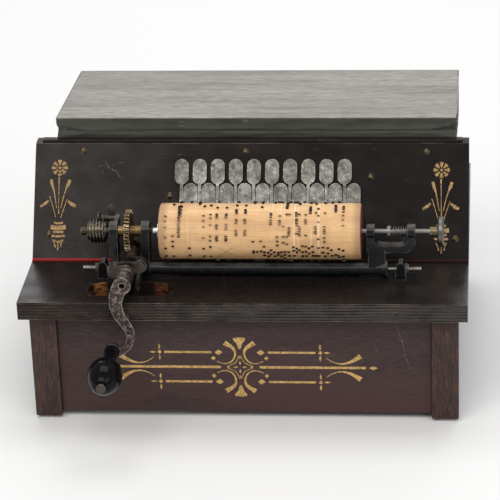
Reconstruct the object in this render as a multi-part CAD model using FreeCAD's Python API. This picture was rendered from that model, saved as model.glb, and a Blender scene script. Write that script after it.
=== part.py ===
import FreeCAD, Part
import math
import os

# Roller organ: a hand crank turns a pinned wooden cob through a worm and wheel,
# and works two feeder bellows in the base; the pins lift twenty sprung keys.
# Working frame, in millimetres: X to the right, Y to the back from the front
# edge of the shelf, Z up from the top of the shelf.

V = FreeCAD.Vector
X_AXIS = V(1, 0, 0)
Y_AXIS = V(0, 1, 0)
Z_AXIS = V(0, 0, 1)

# Case
case_width = 355.6
case_depth = 286.0
shelf_thickness = 15.0
post_height = 90.5
post_size = 21.3
posts_width = 341.0
post_setback = 9.0
panel_thickness = 5.5
panel_setback = 4.0
panel_lift = 3.0
wall_thickness = 10.0
side_setback = 5.0
floor_thickness = 8.0
floor_lift = 2.0
foot_radius = 8.0
foot_height = 2.5
bead_count = 5
bead_radius = 1.1
bead_margin = 0.75
groove_half = 0.5
slot_length = 68.0
slot_width = 25.0
slot_offset = 1.5
slot_middle_y = 26.5

# Inclined board and wind chest
board_lean = 33.5
board_foot_y = 79.3
board_length = 97.8
board_thickness = 10.0
screw_radius = 2.9
screw_dome = 1.4
screw_top_margin = 7.0
left_screw_margin = 39.4
left_screw_rise = 1.0
right_screw_margin = 34.6
middle_screw_x = -4.6
key_screw_left = 80.2
key_screw_left_u = 54.0
key_screw_right = 83.8
key_screw_right_u = 69.8
left_foot_margin = 12.7
left_foot_u = 22.1
right_foot_margin = 10.8
right_foot_u = 18.9
felt_thickness = 1.6
felt_front = 1.5
chest_top_height = 84.0
chest_top_thickness = 8.0
chest_top_width = 345.0
chest_width = 320.0
chest_ledge = 6.5
chest_top_front = 134.5
chest_wall = 10.0
wind_hole_radius = 15.0
wind_hole_spacing = 90.0
wind_hole_back = 76.0

# Reservoir on top
reservoir_width = 328.0
reservoir_offset = 3.3
reservoir_back = 6.0
reservoir_front_y = 139.0
reservoir_lift = 11.8
reservoir_board_thickness = 5.0
reservoir_seat = 0.6
cloth_wall = 2.5
cloth_gap = 0.3

# Cob, its spindles and the wheel
cob_length = 160.0
cob_radius = 22.25
cob_middle_x = 13.2
cob_axis_y = 54.5
cob_axis_z = 38.2
pin_height = 1.6
pin_depth = 1.2
pin_width = 0.9
pin_length = 2.6
pins_per_key = 8
end_chamfer = 0.8
spindle_radius = 2.7
tail_radius = 2.3
running_gap = 0.05
centre_depth = 8.0
tail_hole_depth = 14.0
flange_radius = 6.5
flange_thickness = 2.6
shift_step = 2.5
shift_radius = 10.0
shift_core = 7.6
shift_turns = 5
shift_end = 1.1
shift_foot = 1.4
shift_crest = 0.6
spindle_nut = 3.0
shift_left = -125.5
spindle_left = -131.5
wheel_x = -93.0
wheel_teeth = 30
gear_module = 1.05
wheel_thickness = 4.0
hub_radius = 4.4
wheel_side_gap = 0.3

# Crankshaft, worm and crank
crank_x = -91.8
worm_pitch_radius = 4.0
worm_length = 16.0
mesh_gap = 0.22
dedendum = 1.25
tooth_relief = 0.1
pressure_angle = 20.0
journal_radius = 2.4
sleeve_radius = 7.0
throw = 10.0
crank_pin_radius = 2.5
web_thickness = 3.0
web_wall = 2.0
end_web_wall = 3.0
pin_span = 6.4
arm_thickness = 5.0
arm_front = -7.5
sleeve_back = 17.0
handle_dx = -11.0
handle_dz = -57.5
arm_drawn_reach = 57.5
shaft_recess = 3.0
journal_overhang = 1.5
handle_length = 62.0
handle_bulb_radius = 13.8
handle_bulb_half = 20.5
handle_neck_radius = 5.4
handle_collar_radius = 6.2
handle_collar_length = 4.0
handle_cove = 1.0
handle_nose_radius = 4.6
handle_play = 0.2
bulb_end_angle = 40.0
rivet_radius = 2.6
rivet_head_radius = 4.0
rivet_head = 1.6
bearing_front_y = 39.5
bearing_thickness = 4.0
bearing_radius = 6.6

# Cradle and its pivots
pivot_y = 50.0
pivot_z = 7.5
cradle_tilt = 4.0
bar_radius = 4.9
arm_width = 6.2
left_arm_x = -107.7
middle_arm_x = -82.3
arm_top_radius = 8.0
arm_foot_wall = 1.2
bar_left = -107.7
bar_right = 113.5
bar_flare_radius = 7.0
yoke_left_x = 97.5
yoke_right_x = 129.6
yoke_depth = 9.0
yoke_floor_z = 21.5
yoke_floor_thickness = 5.5
yoke_boss_radius = 6.0
yoke_outer_round = 9.0
yoke_inner_round = 6.0
stem_overlap = 2.0
stem_inset = 1.0
stem_right = 1.5
lug_width = 8.6
lug_gap = 2.5
lug_gap_right = 6.5
cone_seat = 1.5
cone_gap = 0.1
housing_foot = 3.0
housing_side_gap = 0.05
housing_clear = 12.0
worm_clear = 0.8
knife_lug = 3.0
knife_lug_radius = 3.0
bar_flare = 9.5
lug_height = 14.5
lug_foot = 26.0
lug_foot_thickness = 3.0
lug_depth = 10.0
lug_half_top = 3.2
lug_shoulder = 2.5
lug_crown = 1.5
pivot_screw_radius = 2.1
pivot_screw_reach = 13.0
lock_nut_size = 7.5
lock_nut_thickness = 3.0

# Tail spindle
collar_x = 114.0
collar_thickness = 2.2
collar_radius = 5.2
disc_x = 153.5
disc_thickness = 5.0
disc_radius = 12.3
disc_hub_radius = 4.3
disc_hub_length = 6.0
disc_edge = 1.75
tail_right = 159.5
tail_spring_radius = 3.75
tail_spring_wire = 0.9
tail_spring_turns = 6

# Shift knife
knife_pivot_y = 66.5
knife_pivot_z = 44.0
knife_rod_radius = 1.5
knife_lift = 1.6
knife_thickness = 1.0
knife_bend = 3.5
knife_tip_radius = 1.2
knife_hub_radius = 2.8
thumb_lift = 1.5
thumb_thickness = 1.6
thumb_width = 6.6
thumb_height = 10.5

# Keys
key_count = 20
key_pitch = 7.4
key_middle_x = 14.2
key_width = 2.4
key_pivot_u = 34.0
key_pivot_h = 8.0
key_boss_radius = 2.6
key_rod_radius = 1.0
key_tip_gap = 0.35
key_tip_lead = 1.6
key_tip_slope = 2.0
key_waist = 9.0
waist_rise = 0.5
key_root = 3.0
upper_row_u = 63.0
lower_row_u = 43.0
paddle_length = 21.0
paddle_width = 11.2
paddle_thickness = 1.3
pad_thickness = 1.6
pad_margin = 1.2
valve_hole_radius = 2.0
rail_height = 3.0
rail_width = 7.0
ear_thickness = 1.6
ear_foot_radius = 2.8
ear_top_radius = 2.4
ears_apart = 5
reed_pan_depth = 14.0
reed_pan_side = 8.0
reed_pan_front = 2.0
reed_pan_back = 4.0
reed_width = 3.6
reed_length = 34.0
reed_thickness = 1.2

# Feeders in the base
feeder_centre_z = -56.0
feeder_centre_thickness = 8.0
feeder_hinge_x = 150.0
feeder_left_x = -120.0
feeder_front_y = 47.0
feeder_back = 31.0
feeder_board_thickness = 5.0
feeder_angle = 3.6
feeder_seat = 0.6
feeder_pin_radius = 2.0
open_pivot_gap = 0.6
rod_radius = 2.0
eye_radius = 5.0

# Worked out from the sizes above
lean = math.radians(board_lean)
pressure_slope = math.tan(math.radians(pressure_angle))
floor_z = -shelf_thickness - post_height - foot_height
crank_z = cob_axis_z - gear_module * wheel_teeth / 2 - worm_pitch_radius
pin_circle = cob_radius + pin_height
cob_left = cob_middle_x - cob_length / 2
cob_right = cob_middle_x + cob_length / 2
pin_front_y = sleeve_back + web_thickness
pin_back_y = pin_front_y + pin_span + web_thickness
crank_end_y = 2 * cob_axis_y - bearing_front_y
reservoir_back_y = case_depth - reservoir_back
knife_pin_left = shift_left + 6.0
reservoir_depth = reservoir_back_y - reservoir_front_y
wind_hole_y = case_depth - wind_hole_back
feeder_back_y = case_depth - feeder_back
front_y = arm_front - handle_length - rivet_head
origin_y = (front_y + case_depth) / 2
axis_u = (cob_axis_y - board_foot_y) * math.sin(lean) + cob_axis_z * math.cos(lean)
axis_h = -(cob_axis_y - board_foot_y) * math.cos(lean) + cob_axis_z * math.sin(lean)
to_board = FreeCAD.Placement(V(0, board_foot_y, 0), FreeCAD.Rotation(X_AXIS, 90 - board_lean))
to_row = V(0, -origin_y, -floor_z)


def box(x0, x1, y0, y1, z0, z1):
    return Part.makeBox(x1 - x0, y1 - y0, z1 - z0, V(x0, y0, z0))


def rod(radius, start, axis, length):
    return Part.makeCylinder(radius, length, start, axis)


def join(shapes):
    whole = shapes[0]
    for shape in shapes[1:]:
        whole = whole.fuse(shape)
    return whole.removeSplitter()


def group(shapes):
    return Part.makeCompound(shapes)


def face_of(edges):
    return Part.Face(Part.Wire(edges))


def side_profile(points, x0, x1):
    """A straight-sided profile in the Y-Z plane, drawn out along X."""
    wire = Part.makePolygon([V(x0, y, z) for y, z in points + points[:1]])
    return Part.Face(wire).extrude(V(x1 - x0, 0, 0))


def front_profile(points, y0, y1):
    """A straight-sided profile in the X-Z plane, drawn out along Y."""
    wire = Part.makePolygon([V(x, y0, z) for x, z in points + points[:1]])
    return Part.Face(wire).extrude(V(0, y1 - y0, 0))


def line(a, b):
    return Part.LineSegment(a, b).toShape()


def arc(a, b, c):
    return Part.Arc(a, b, c).toShape()


def link_plate(centre_a, radius_a, centre_b, radius_b, thickness, axis):
    """A flat bar with round ends of two sizes, joined by tangent sides."""
    span = centre_b - centre_a
    along = V(span).normalize()
    across = axis.cross(along)
    tilt = math.acos((radius_a - radius_b) / span.Length)

    def rim(centre, radius, angle):
        return centre + along * (radius * math.cos(angle)) + across * (radius * math.sin(angle))

    a_up = rim(centre_a, radius_a, tilt)
    a_down = rim(centre_a, radius_a, -tilt)
    b_up = rim(centre_b, radius_b, tilt)
    b_down = rim(centre_b, radius_b, -tilt)
    edges = [
        line(a_up, b_up),
        arc(b_up, centre_b + along * radius_b, b_down),
        line(b_down, a_down),
        arc(a_down, centre_a - along * radius_a, a_up),
    ]
    return face_of(edges).extrude(axis * thickness)


def stadium(width, length, x, u, h, thickness):
    """A round-ended plate lying on the inclined board, in the board's frame."""
    r = width / 2
    low = u + r
    high = u + length - r
    edges = [
        line(V(x + r, low, h), V(x + r, high, h)),
        arc(V(x + r, high, h), V(x, high + r, h), V(x - r, high, h)),
        line(V(x - r, high, h), V(x - r, low, h)),
        arc(V(x - r, low, h), V(x, low - r, h), V(x + r, low, h)),
    ]
    return face_of(edges).extrude(V(0, 0, thickness))


def on_board(shape):
    shape.Placement = to_board.multiply(shape.Placement)
    return shape


def helix_tube(radius, wire, turns, pitch, start_x, centre, end_run):
    """A round wire wound about an X axis on quarter-turn biarcs, with straight ends."""
    def point(t):
        angle = 2 * math.pi * t
        return V(start_x + pitch * t, centre.y + radius * math.sin(angle), centre.z + radius * math.cos(angle))

    def tangent(t):
        angle = 2 * math.pi * t
        round_length = 2 * math.pi * radius
        return V(pitch, round_length * math.cos(angle), -round_length * math.sin(angle)).normalize()

    edges = []
    steps = int(turns * 4)
    for i in range(steps):
        a = i / 4.0
        b = (i + 1) / 4.0
        edges += biarc(point(a), tangent(a), point(b), tangent(b))
    first = point(0)
    last = point(turns)
    lead_in = first - tangent(0) * end_run
    lead_out = last + tangent(turns) * end_run
    path = Part.Wire([line(lead_in, first)] + edges + [line(last, lead_out)])
    section = Part.Wire(Part.makeCircle(wire / 2, lead_in, tangent(0)))
    return path.makePipeShell([section], True, False)


def biarc(p0, t0, p1, t1):
    """Two tangent arcs from p0 along t0 to p1 along t1."""
    chord = p1 - p0
    both = t0 + t1
    a = 2 * (1 - t0.dot(t1))
    b = 2 * chord.dot(both)
    d = (-b + math.sqrt(b * b + 4 * a * chord.dot(chord))) / (2 * a)
    joint = (p0 + p1 + (t0 - t1) * d) * 0.5
    return [arc_from(p0, t0, joint), arc_from(p1, t1 * -1, joint)]


def arc_from(start, tangent, end):
    """The arc that leaves start along tangent and reaches end."""
    chord = end - start
    side = (chord - tangent * chord.dot(tangent)).normalize()
    radius = chord.dot(chord) / (2 * chord.dot(side))
    centre = start + side * radius
    middle = (start + end) * 0.5 - centre
    return arc(start, centre + middle.normalize() * radius, end)


def thread(root, crest, pitch, turns, start, axis, foot, top):
    """A screw thread of trapezoid section on a core of the root radius."""
    sink = 0.25
    helix = Part.makeHelix(pitch, pitch * turns, root)
    profile = Part.makePolygon([
        V(root - sink, 0, -foot / 2),
        V(crest, 0, -top / 2),
        V(crest, 0, top / 2),
        V(root - sink, 0, foot / 2),
        V(root - sink, 0, -foot / 2),
    ])
    ridge = Part.Wire(helix).makePipeShell([profile], True, True)
    ridge.Placement = FreeCAD.Placement(start, FreeCAD.Rotation(Z_AXIS, axis))
    return ridge


def key_x(i):
    return key_middle_x + (i - (key_count - 1) / 2) * key_pitch


# The base, below the shelf
def shelf():
    half = case_width / 2
    board = box(-half, half, 0, case_depth, -shelf_thickness, 0)
    step = (shelf_thickness - 2 * bead_margin) / bead_count
    for i in range(bead_count + 1):
        z = -bead_margin - i * step
        board = board.cut(groove(half, z))
    r = slot_width / 2
    left = crank_x + slot_offset - slot_length / 2 + r
    right = crank_x + slot_offset + slot_length / 2 - r
    edges = [
        line(V(left, slot_middle_y - r, 1), V(right, slot_middle_y - r, 1)),
        arc(V(right, slot_middle_y - r, 1), V(right + r, slot_middle_y, 1), V(right, slot_middle_y + r, 1)),
        line(V(right, slot_middle_y + r, 1), V(left, slot_middle_y + r, 1)),
        arc(V(left, slot_middle_y + r, 1), V(left - r, slot_middle_y, 1), V(left, slot_middle_y - r, 1)),
    ]
    board = board.cut(face_of(edges).extrude(V(0, 0, -shelf_thickness - 2)))
    for x in (-wind_hole_spacing, 0, wind_hole_spacing):
        board = board.cut(rod(wind_hole_radius, V(x, wind_hole_y, 1), Z_AXIS * -1, shelf_thickness + 2))
    return board


def groove(half, z):
    """A V groove along the front edge of the shelf, between two beads."""
    points = [(0, z - groove_half), (bead_radius, z), (0, z + groove_half)]
    return side_profile(points, -half - 1, half + 1)


def corner_posts():
    half = posts_width / 2
    low = -shelf_thickness - post_height
    posts = []
    for x in (-half, half - post_size):
        for y in (post_setback, case_depth - post_setback - post_size):
            posts.append(box(x, x + post_size, y, y + post_size, low, -shelf_thickness))
    return group(posts)


def front_panel():
    half = posts_width / 2 - post_size
    y = post_setback + panel_setback
    low = -shelf_thickness - post_height + panel_lift
    return box(-half, half, y, y + panel_thickness, low, -shelf_thickness)


def back_panel():
    half = posts_width / 2 - post_size
    y = case_depth - post_setback - side_setback
    return box(-half, half, y - wall_thickness, y, -shelf_thickness - post_height, -shelf_thickness)


def side_panels():
    outer = posts_width / 2 - side_setback
    y0 = post_setback + post_size
    y1 = case_depth - post_setback - post_size
    low = -shelf_thickness - post_height
    left = box(-outer, -outer + wall_thickness, y0, y1, low, -shelf_thickness)
    right = box(outer - wall_thickness, outer, y0, y1, low, -shelf_thickness)
    return group([left, right])


def base_floor():
    half_x = posts_width / 2 - side_setback - wall_thickness
    y0 = post_setback + post_size
    y1 = case_depth - post_setback - post_size
    low = -shelf_thickness - post_height + floor_lift
    return box(-half_x, half_x, y0, y1, low, low + floor_thickness)


def feet():
    low = -shelf_thickness - post_height
    half = posts_width / 2 - post_size / 2
    feet_list = []
    for x in (-half, half):
        for y in (post_setback + post_size / 2, case_depth - post_setback - post_size / 2):
            feet_list.append(rod(foot_radius, V(x, y, low - foot_height), Z_AXIS, foot_height))
    return group([dome_foot(foot) for foot in feet_list])


def dome_foot(foot):
    rim = min(foot_height * 0.6, foot_radius * 0.5)
    low = [e for e in foot.Edges if abs(e.CenterOfMass.z - foot.BoundBox.ZMin) < 1e-6 and e.Closed]
    return foot.makeChamfer(rim, low[:1])


# The wind chest behind the inclined board
def board_point(u, h):
    return (
        board_foot_y + u * math.sin(lean) - h * math.cos(lean),
        u * math.cos(lean) + h * math.sin(lean),
    )


def inclined_board():
    half = case_width / 2
    top_y, top_z = board_point(board_length, 0)
    foot_y = board_foot_y + felt_thickness * math.tan(lean)
    run = board_thickness / math.cos(lean)
    points = [(foot_y, felt_thickness), (foot_y + run, felt_thickness), (top_y + run, top_z), (top_y, top_z)]
    board = side_profile(points, -half, half)
    for i in range(key_count):
        middle = V(key_x(i), paddle_u(i) + paddle_length / 2, 1)
        hole = rod(valve_hole_radius, middle, Z_AXIS * -1, board_thickness + 2)
        board = board.cut(on_board(hole))
    return board


def felt_strip():
    half = case_width / 2
    back = board_foot_y + board_thickness / math.cos(lean)
    return box(-half, half, board_foot_y - felt_front, back, 0, felt_thickness)


def chest_walls():
    x0 = reservoir_offset - chest_width / 2
    x1 = reservoir_offset + chest_width / 2
    top = chest_top_height - chest_top_thickness
    front_low = board_foot_y + board_thickness / math.cos(lean)
    front_high = front_low + top * math.tan(lean)
    back = case_depth - chest_wall
    cheek = [(front_low, 0), (back, 0), (back, top), (front_high, top)]
    left = side_profile(cheek, x0, x0 + chest_wall)
    right = side_profile(cheek, x1 - chest_wall, x1)
    rear = box(x0, x1, back, case_depth, 0, top)
    return group([left, right, rear])


def chest_top():
    half = chest_top_width / 2
    low = chest_top_height - chest_top_thickness
    ledge = box(-half, half, chest_top_front, chest_top_front + chest_ledge, low, chest_top_height)
    x0 = reservoir_offset - chest_width / 2
    cover = box(x0, x0 + chest_width, chest_top_front, case_depth, low, chest_top_height)
    board = join([ledge, cover])
    top_y, top_z = board_point(board_length, 0)
    run = board_thickness / math.cos(lean)
    slope = math.tan(lean)
    rebate = [
        (chest_top_front - 1, low - 1),
        (top_y + run - (top_z - low + 1) * slope, low - 1),
        (top_y + run, top_z),
        (chest_top_front - 1, top_z),
    ]
    board = board.cut(side_profile(rebate, -half - 1, half + 1))
    for x in (-wind_hole_spacing, 0, wind_hole_spacing):
        board = board.cut(rod(wind_hole_radius, V(x, wind_hole_y, low - 1), Z_AXIS, chest_top_thickness + 2))
    return board


def board_screws():
    """Round-headed screws: three along the top, two by the keys, two near the foot."""
    half = case_width / 2
    top_u = board_length - screw_top_margin
    places = [
        (left_screw_margin - half, top_u + left_screw_rise),
        (middle_screw_x, top_u),
        (half - right_screw_margin, top_u),
        (key_middle_x - key_screw_left, key_screw_left_u),
        (key_middle_x + key_screw_right, key_screw_right_u),
        (left_foot_margin - half, left_foot_u),
        (half - right_foot_margin, right_foot_u),
    ]
    screws = []
    for x, u in places:
        screws.append(on_board(dome_head(x, u)))
    return group(screws)


def dome_head(x, u):
    ball = (screw_radius * screw_radius + screw_dome * screw_dome) / (2 * screw_dome)
    head = Part.makeSphere(ball, V(x, u, screw_dome - ball))
    return head.common(rod(2 * screw_radius, V(x, u, 0), Z_AXIS, 2 * screw_dome))


def reed_pan():
    half = (key_count - 1) / 2 * key_pitch + reed_pan_side
    low = lower_row_u - reed_pan_front
    high = upper_row_u + paddle_length + reed_pan_back
    top = -board_thickness
    pan = box(key_middle_x - half, key_middle_x + half, low, high, top - reed_pan_depth, top)
    for i in range(key_count):
        u = paddle_u(i) + paddle_length / 2
        pan = pan.cut(rod(valve_hole_radius, V(key_x(i), u, top + 1), Z_AXIS * -1, reed_pan_depth + 2))
    return on_board(pan)


def reeds():
    plates = []
    back = -board_thickness - reed_pan_depth
    middle = (lower_row_u + upper_row_u + paddle_length) / 2
    for i in range(key_count):
        x = key_x(i)
        plate = box(x - reed_width / 2, x + reed_width / 2, middle - reed_length / 2, middle + reed_length / 2,
                    back - reed_thickness, back)
        plates.append(on_board(plate))
    return group(plates)


# The keys
def paddle_u(i):
    return upper_row_u if i % 2 == 0 else lower_row_u


def key(i):
    x = key_x(i)
    half = key_width / 2
    u0 = paddle_u(i)
    reach = pin_circle + key_tip_gap
    tip_u = axis_u + key_tip_lead
    tip_h = axis_h - math.sqrt(reach * reach - key_tip_lead * key_tip_lead)
    pu = key_pivot_u
    ph = key_pivot_h
    r = key_boss_radius
    flat = pad_thickness
    stem_top = flat + paddle_thickness
    outline = [
        (tip_u, tip_h),
        (tip_u - key_tip_slope, tip_h - key_tip_slope / 2),
        (pu - r * 0.8, ph - r * 0.6),
        (pu + r * 0.3, ph - r * 0.9),
        (pu + key_waist, flat + waist_rise),
        (u0 + key_root, flat),
        (u0 + key_root, stem_top),
        (pu + key_waist + waist_rise, stem_top + waist_rise),
        (pu + r * 0.8, ph + r * 0.6),
        (pu - r * 0.3, ph + r * 0.9),
    ]
    wire = Part.makePolygon([V(x - half, u, h) for u, h in outline + outline[:1]])
    lever = Part.Face(wire).extrude(V(key_width, 0, 0))
    boss = rod(r, V(x - half, pu, ph), X_AXIS, key_width)
    paddle = stadium(paddle_width, paddle_length, x, u0, flat, paddle_thickness)
    bore = rod(key_rod_radius + running_gap, V(x - half - 1, pu, ph), X_AXIS, key_width + 2)
    lever = join([lever, boss, paddle]).cut(bore)
    pad = stadium(paddle_width - 2 * pad_margin, paddle_length - 2 * pad_margin, x, u0 + pad_margin, 0, flat)
    return on_board(group([lever, pad]))


def rail_half():
    return key_count / 2 * key_pitch


def key_rail():
    half = rail_half() + ear_thickness / 2
    u0 = key_pivot_u - rail_width / 2
    strip = box(key_middle_x - half, key_middle_x + half, u0, u0 + rail_width, 0, rail_height)
    shapes = [strip]
    for i in range(0, key_count + 1, ears_apart):
        x = key_middle_x - rail_half() + i * key_pitch
        low = V(x - ear_thickness / 2, key_pivot_u, rail_height - 1)
        high = V(x - ear_thickness / 2, key_pivot_u, key_pivot_h)
        ear = link_plate(low, ear_foot_radius, high, ear_top_radius, ear_thickness, X_AXIS)
        room = box(x - ear_thickness, x + ear_thickness, u0, u0 + rail_width, 0, 2 * key_pivot_h)
        shapes.append(ear.common(room))
    rail = join(shapes)
    bore = rod(key_rod_radius, V(key_middle_x - half - 1, key_pivot_u, key_pivot_h), X_AXIS, 2 * half + 2)
    return on_board(rail.cut(bore))


def key_rod():
    half = rail_half() + ear_thickness / 2 + 1
    return on_board(rod(key_rod_radius, V(key_middle_x - half, key_pivot_u, key_pivot_h), X_AXIS, 2 * half))


# The reservoir, hinged at the back
def reservoir_place():
    tilt = math.degrees(math.asin(reservoir_lift / reservoir_depth))
    hinge = V(reservoir_offset, reservoir_back_y, chest_top_height + reservoir_seat)
    return FreeCAD.Placement(hinge, FreeCAD.Rotation(X_AXIS, -tilt))


def reservoir_board():
    half = reservoir_width / 2
    board = box(-half, half, -reservoir_depth, 0, 0, reservoir_board_thickness)
    board.Placement = reservoir_place()
    return board


def wedge(inset, top_gap):
    """The space under the reservoir board, drawn in from its edges."""
    x0 = reservoir_offset - reservoir_width / 2 + inset
    x1 = reservoir_offset + reservoir_width / 2 - inset
    slope = reservoir_lift / math.sqrt(reservoir_depth ** 2 - reservoir_lift ** 2)
    front = reservoir_back_y - math.sqrt(reservoir_depth ** 2 - reservoir_lift ** 2) + inset
    back = reservoir_back_y - inset
    low = chest_top_height
    high = chest_top_height + reservoir_seat - top_gap
    points = [
        (front, low),
        (back, low),
        (back, high + inset * slope),
        (front, high + (reservoir_back_y - front) * slope),
    ]
    return side_profile(points, x0, x1)


def reservoir_cloth():
    return wedge(0, cloth_gap).cut(wedge(cloth_wall, -1.0))


# The feeders: a fixed centre board and two moving boards hinged at the right
def feeder_centre():
    half = posts_width / 2 - side_setback - wall_thickness
    low = feeder_centre_z - feeder_centre_thickness / 2
    high = feeder_centre_z + feeder_centre_thickness / 2
    return box(-half, half, feeder_front_y, feeder_back_y, low, high)


def feeder_pin_height():
    return (feeder_hinge_x - crank_x) * math.tan(math.radians(feeder_angle)) + feeder_seat


def feeder_board(side, pitman_back):
    """One moving board: side is 1 above the centre board and -1 below it."""
    face = feeder_centre_z + side * (feeder_centre_thickness / 2 + feeder_seat)
    pin_z = face + side * (feeder_pin_height() - feeder_seat + feeder_board_thickness / 2)
    length = feeder_hinge_x - feeder_left_x
    low = 0 if side > 0 else -feeder_board_thickness
    board = box(-length, 0, feeder_front_y, feeder_back_y, low, low + feeder_board_thickness)
    turn = FreeCAD.Rotation(Y_AXIS, side * feeder_angle)
    board.Placement = FreeCAD.Placement(V(feeder_hinge_x, 0, face), turn)
    reach = open_pivot_gap + (pivot_z - pin_z) * math.sin(math.radians(cradle_tilt))
    start = pitman_back + reach
    pin = rod(feeder_pin_radius, V(crank_x, start, pin_z), Y_AXIS, feeder_front_y + 6 - start)
    return join([board, pin])


def feeder_cloth(side):
    """The folded cloth between the centre board and one moving board."""
    face = feeder_centre_z + side * feeder_centre_thickness / 2
    outer = feeder_wedge(side, face, 0, cloth_gap)
    inner = feeder_wedge(side, face, cloth_wall, -1.0)
    return outer.cut(inner)


def feeder_wedge(side, face, inset, top_gap):
    slope = math.tan(math.radians(feeder_angle))
    x0 = feeder_left_x + inset
    x1 = feeder_hinge_x - inset
    start = feeder_seat - top_gap
    points = [
        (x0, face),
        (x1, face),
        (x1, face + side * (start + inset * slope)),
        (x0, face + side * (start + (feeder_hinge_x - x0) * slope)),
    ]
    return front_profile(points, feeder_front_y + inset, feeder_back_y - inset)


def pitman(side, front):
    """A connecting rod from one crank pin down to the pin of its feeder board."""
    middle = front + pin_span / 2
    thickness = pin_span - 2 * wheel_side_gap
    face = feeder_centre_z + side * (feeder_centre_thickness / 2 + feeder_seat)
    low_z = face + side * (feeder_pin_height() - feeder_seat + feeder_board_thickness / 2)
    top = V(crank_x + side * throw, middle - thickness / 2, crank_z)
    low = V(crank_x, middle - thickness / 2, low_z)
    upper_eye = rod(eye_radius, top, Y_AXIS, thickness)
    lower_eye = rod(eye_radius, low, Y_AXIS, thickness)
    half = V(0, thickness / 2, 0)
    shank = rod(rod_radius, top + half, low - top, (low - top).Length)
    shape = join([upper_eye, lower_eye, shank])
    shape = shape.cut(rod(crank_pin_radius + running_gap, top - Y_AXIS, Y_AXIS, thickness + 2))
    return shape.cut(rod(feeder_pin_radius + 0.3, low - Y_AXIS, Y_AXIS, thickness + 2))


# The crank and the crankshaft
def crank_point(dx, dz, y):
    return V(crank_x + dx, y, crank_z + dz)


def crank_arm():
    """The S-shaped arm, cast in one with the sleeve that is fixed on the shaft."""
    def at(dx, dz):
        scale = -handle_dz / arm_drawn_reach
        return crank_point(dx * scale, dz * scale, arm_front)

    edges = [
        arc(at(-5.2, 4.6), at(-10.7, -16.8), at(-6.5, -29.2)),
        line(at(-6.5, -29.2), at(-1.2, -37.2)),
        arc(at(-1.2, -37.2), at(1.4, -46.5), at(-6.3, -55.5)),
        line(at(-6.3, -55.5), at(-8.0, -62.6)),
        arc(at(-8.0, -62.6), at(5.2, -52.6), at(6.8, -35.6)),
        line(at(6.8, -35.6), at(3.3, -28.4)),
        arc(at(3.3, -28.4), at(-0.7, -17.0), at(6.4, -2.9)),
        line(at(6.4, -2.9), at(-5.2, 4.6)),
    ]
    arm = face_of(edges).extrude(V(0, arm_thickness, 0))
    shaft = crank_point(0, 0, arm_front)
    grip = crank_point(handle_dx, handle_dz, arm_front)
    eye = rod(handle_collar_radius, grip, Y_AXIS, arm_thickness)
    sleeve = rod(sleeve_radius, shaft, Y_AXIS, sleeve_back - arm_front)
    shape = join([arm, eye, sleeve])
    shape = shape.cut(rod(journal_radius, shaft - Y_AXIS, Y_AXIS, sleeve_back - arm_front + 2))
    return shape.cut(rod(rivet_radius, grip - Y_AXIS, Y_AXIS, arm_thickness + 2))


def throw_web(dx_a, radius_a, dx_b, radius_b, y):
    start = crank_point(dx_a, 0, y)
    return link_plate(start, radius_a, crank_point(dx_b, 0, y), radius_b, web_thickness, Y_AXIS)


def crankshaft():
    """Two crank pins half a turn apart, then the journal with the worm cut on it."""
    stub_y = arm_front + arm_thickness + shaft_recess
    stub = rod(journal_radius, crank_point(0, 0, stub_y), Y_AXIS, sleeve_back - stub_y)
    boss = crank_pin_radius + web_wall
    end_boss = journal_radius + end_web_wall
    first = throw_web(0, end_boss, -throw, boss, sleeve_back)
    pin_a = rod(crank_pin_radius, crank_point(-throw, 0, pin_front_y), Y_AXIS, pin_span)
    middle = throw_web(-throw, boss, throw, boss, pin_front_y + pin_span)
    pin_b = rod(crank_pin_radius, crank_point(throw, 0, pin_back_y), Y_AXIS, pin_span)
    last = throw_web(0, end_boss, throw, boss, pin_back_y + pin_span)
    start = pin_back_y + pin_span + web_thickness
    journal = rod(journal_radius, crank_point(0, 0, start), Y_AXIS, crank_end_y + journal_overhang - start)
    core_y = bearing_front_y + bearing_thickness + wheel_side_gap
    core_length = 2 * (cob_axis_y - core_y)
    core = rod(worm_root(), crank_point(0, 0, core_y), Y_AXIS, core_length)
    return join([stub, first, pin_a, middle, pin_b, last, journal, core, worm_thread()])


def worm_root():
    return worm_pitch_radius - dedendum * gear_module


def worm_thread():
    pitch = math.pi * gear_module
    turns = int(worm_length / pitch)
    middle = pitch / 2 - mesh_gap
    foot = middle + 2 * dedendum * gear_module * pressure_slope
    top = middle - 2 * gear_module * pressure_slope
    start_y = cob_axis_y - (turns // 2 + 0.75) * pitch
    start = crank_point(0, 0, start_y)
    return thread(worm_root(), worm_pitch_radius + gear_module, pitch, turns, start, Y_AXIS, foot, top)


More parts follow.
